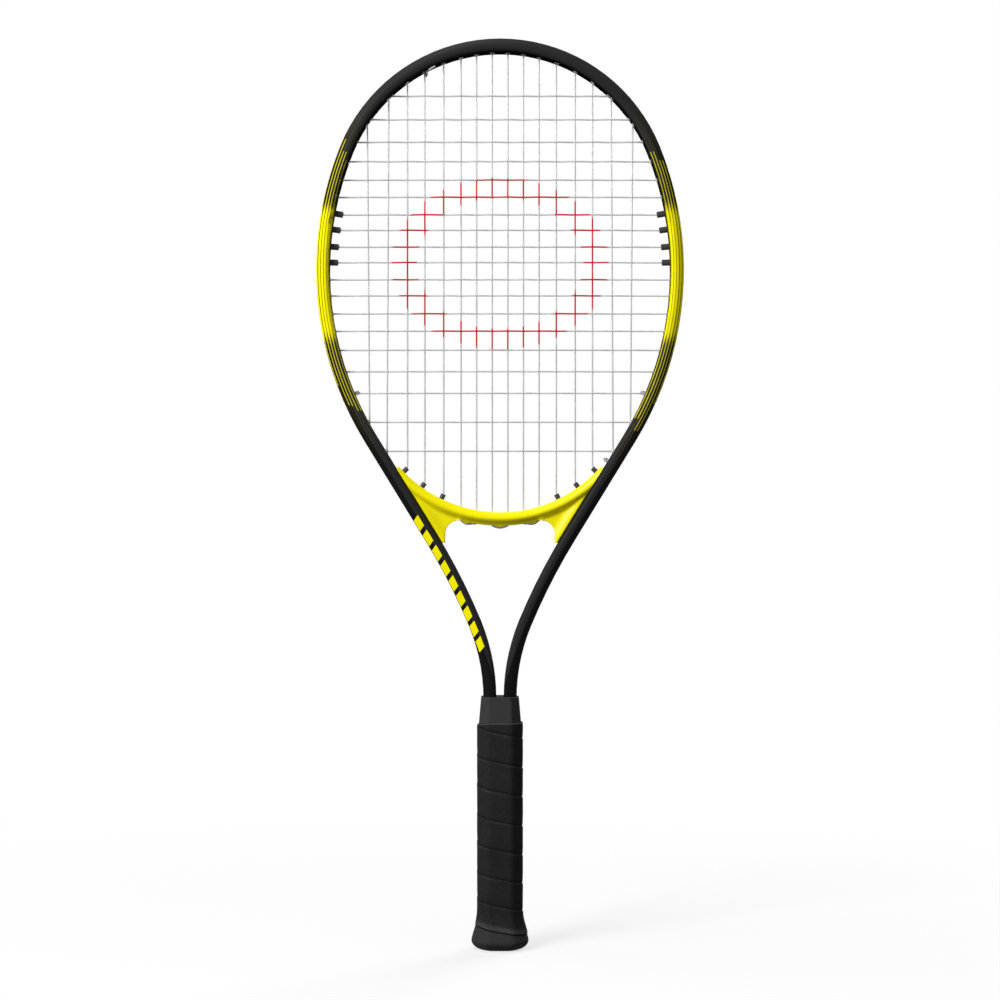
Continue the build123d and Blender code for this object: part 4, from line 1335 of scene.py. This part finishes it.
class RACKET_OT_stage(bpy.types.Operator):
    """Set up the pale floor, the soft lights, the white surroundings and the camera"""
    bl_idname = "racket.stage"
    bl_label = "Studio stage"

    def execute(self, context):
        mesh = bpy.data.meshes.new("floor")
        corners = [(x * FLOOR_REACH, y * FLOOR_REACH, 0) for x, y in ((-1, -1), (1, -1), (1, 1), (-1, 1))]
        mesh.from_pydata(corners, [], [(0, 1, 2, 3)])
        mesh.materials.append(floor_material())
        add_object("floor", mesh)

        world = bpy.data.worlds.new("white studio")
        world.use_nodes = True
        background = world.node_tree.nodes["Background"]
        background.inputs["Color"].default_value = WHITE
        rays = ray_is(world.node_tree, "Camera", "Glossy", "Transmission")
        put(background.inputs["Strength"], mix(rays, FILL, 1.0))
        context.scene.world = world

        for name, place, size, power in LIGHTS:
            data = bpy.data.lights.new(name, "AREA")
            data.size = size
            data.energy = power
            lamp = add_object(name, data)
            lamp.location = place
            lamp.rotation_euler = (LIT_POINT - lamp.location).to_track_quat("-Z", "Y").to_euler()

        data = bpy.data.cameras.new("camera")
        data.sensor_width = 36.0
        data.lens = data.sensor_width * CAMERA_DISTANCE / VIEW_WIDTH
        camera = add_object("camera", data)
        camera.location = (0.0, -CAMERA_DISTANCE, CAMERA_HEIGHT)
        camera.rotation_euler = (math.radians(90), 0, 0)
        context.scene.camera = camera
        context.scene.view_settings.view_transform = "Standard"
        return {"FINISHED"}


STEPS = (RACKET_OT_hoop, RACKET_OT_grommets, RACKET_OT_bridge, RACKET_OT_strings, RACKET_OT_wrap,
         RACKET_OT_collar, RACKET_OT_butt, RACKET_OT_core, RACKET_OT_stage)


class RACKET_PT_panel(bpy.types.Panel):
    """Buttons that build the racket's finish, one piece at a time"""
    bl_idname = "RACKET_PT_panel"
    bl_label = "Racket"
    bl_space_type = "VIEW_3D"
    bl_region_type = "UI"
    bl_category = "Racket"

    def draw(self, context):
        for step in STEPS:
            self.layout.operator(step.bl_idname)
        for group in (context.scene.racket_sizes, context.scene.racket_colours):
            for name in group.bl_rna.properties.keys():
                if name not in ("rna_type", "name"):
                    self.layout.prop(group, name)


CLASSES = (RacketSizes, RacketColours, *STEPS, RACKET_PT_panel)


def register():
    for item in CLASSES:
        bpy.utils.register_class(item)
    bpy.types.Scene.racket_sizes = bpy.props.PointerProperty(type=RacketSizes)
    bpy.types.Scene.racket_colours = bpy.props.PointerProperty(type=RacketColours)


def unregister():
    del bpy.types.Scene.racket_colours
    del bpy.types.Scene.racket_sizes
    for item in reversed(CLASSES):
        bpy.utils.unregister_class(item)


def main():
    register()
    for step in STEPS:
        group, name = step.bl_idname.split(".")
        getattr(getattr(bpy.ops, group), name)()


if __name__ == "__main__":
    main()
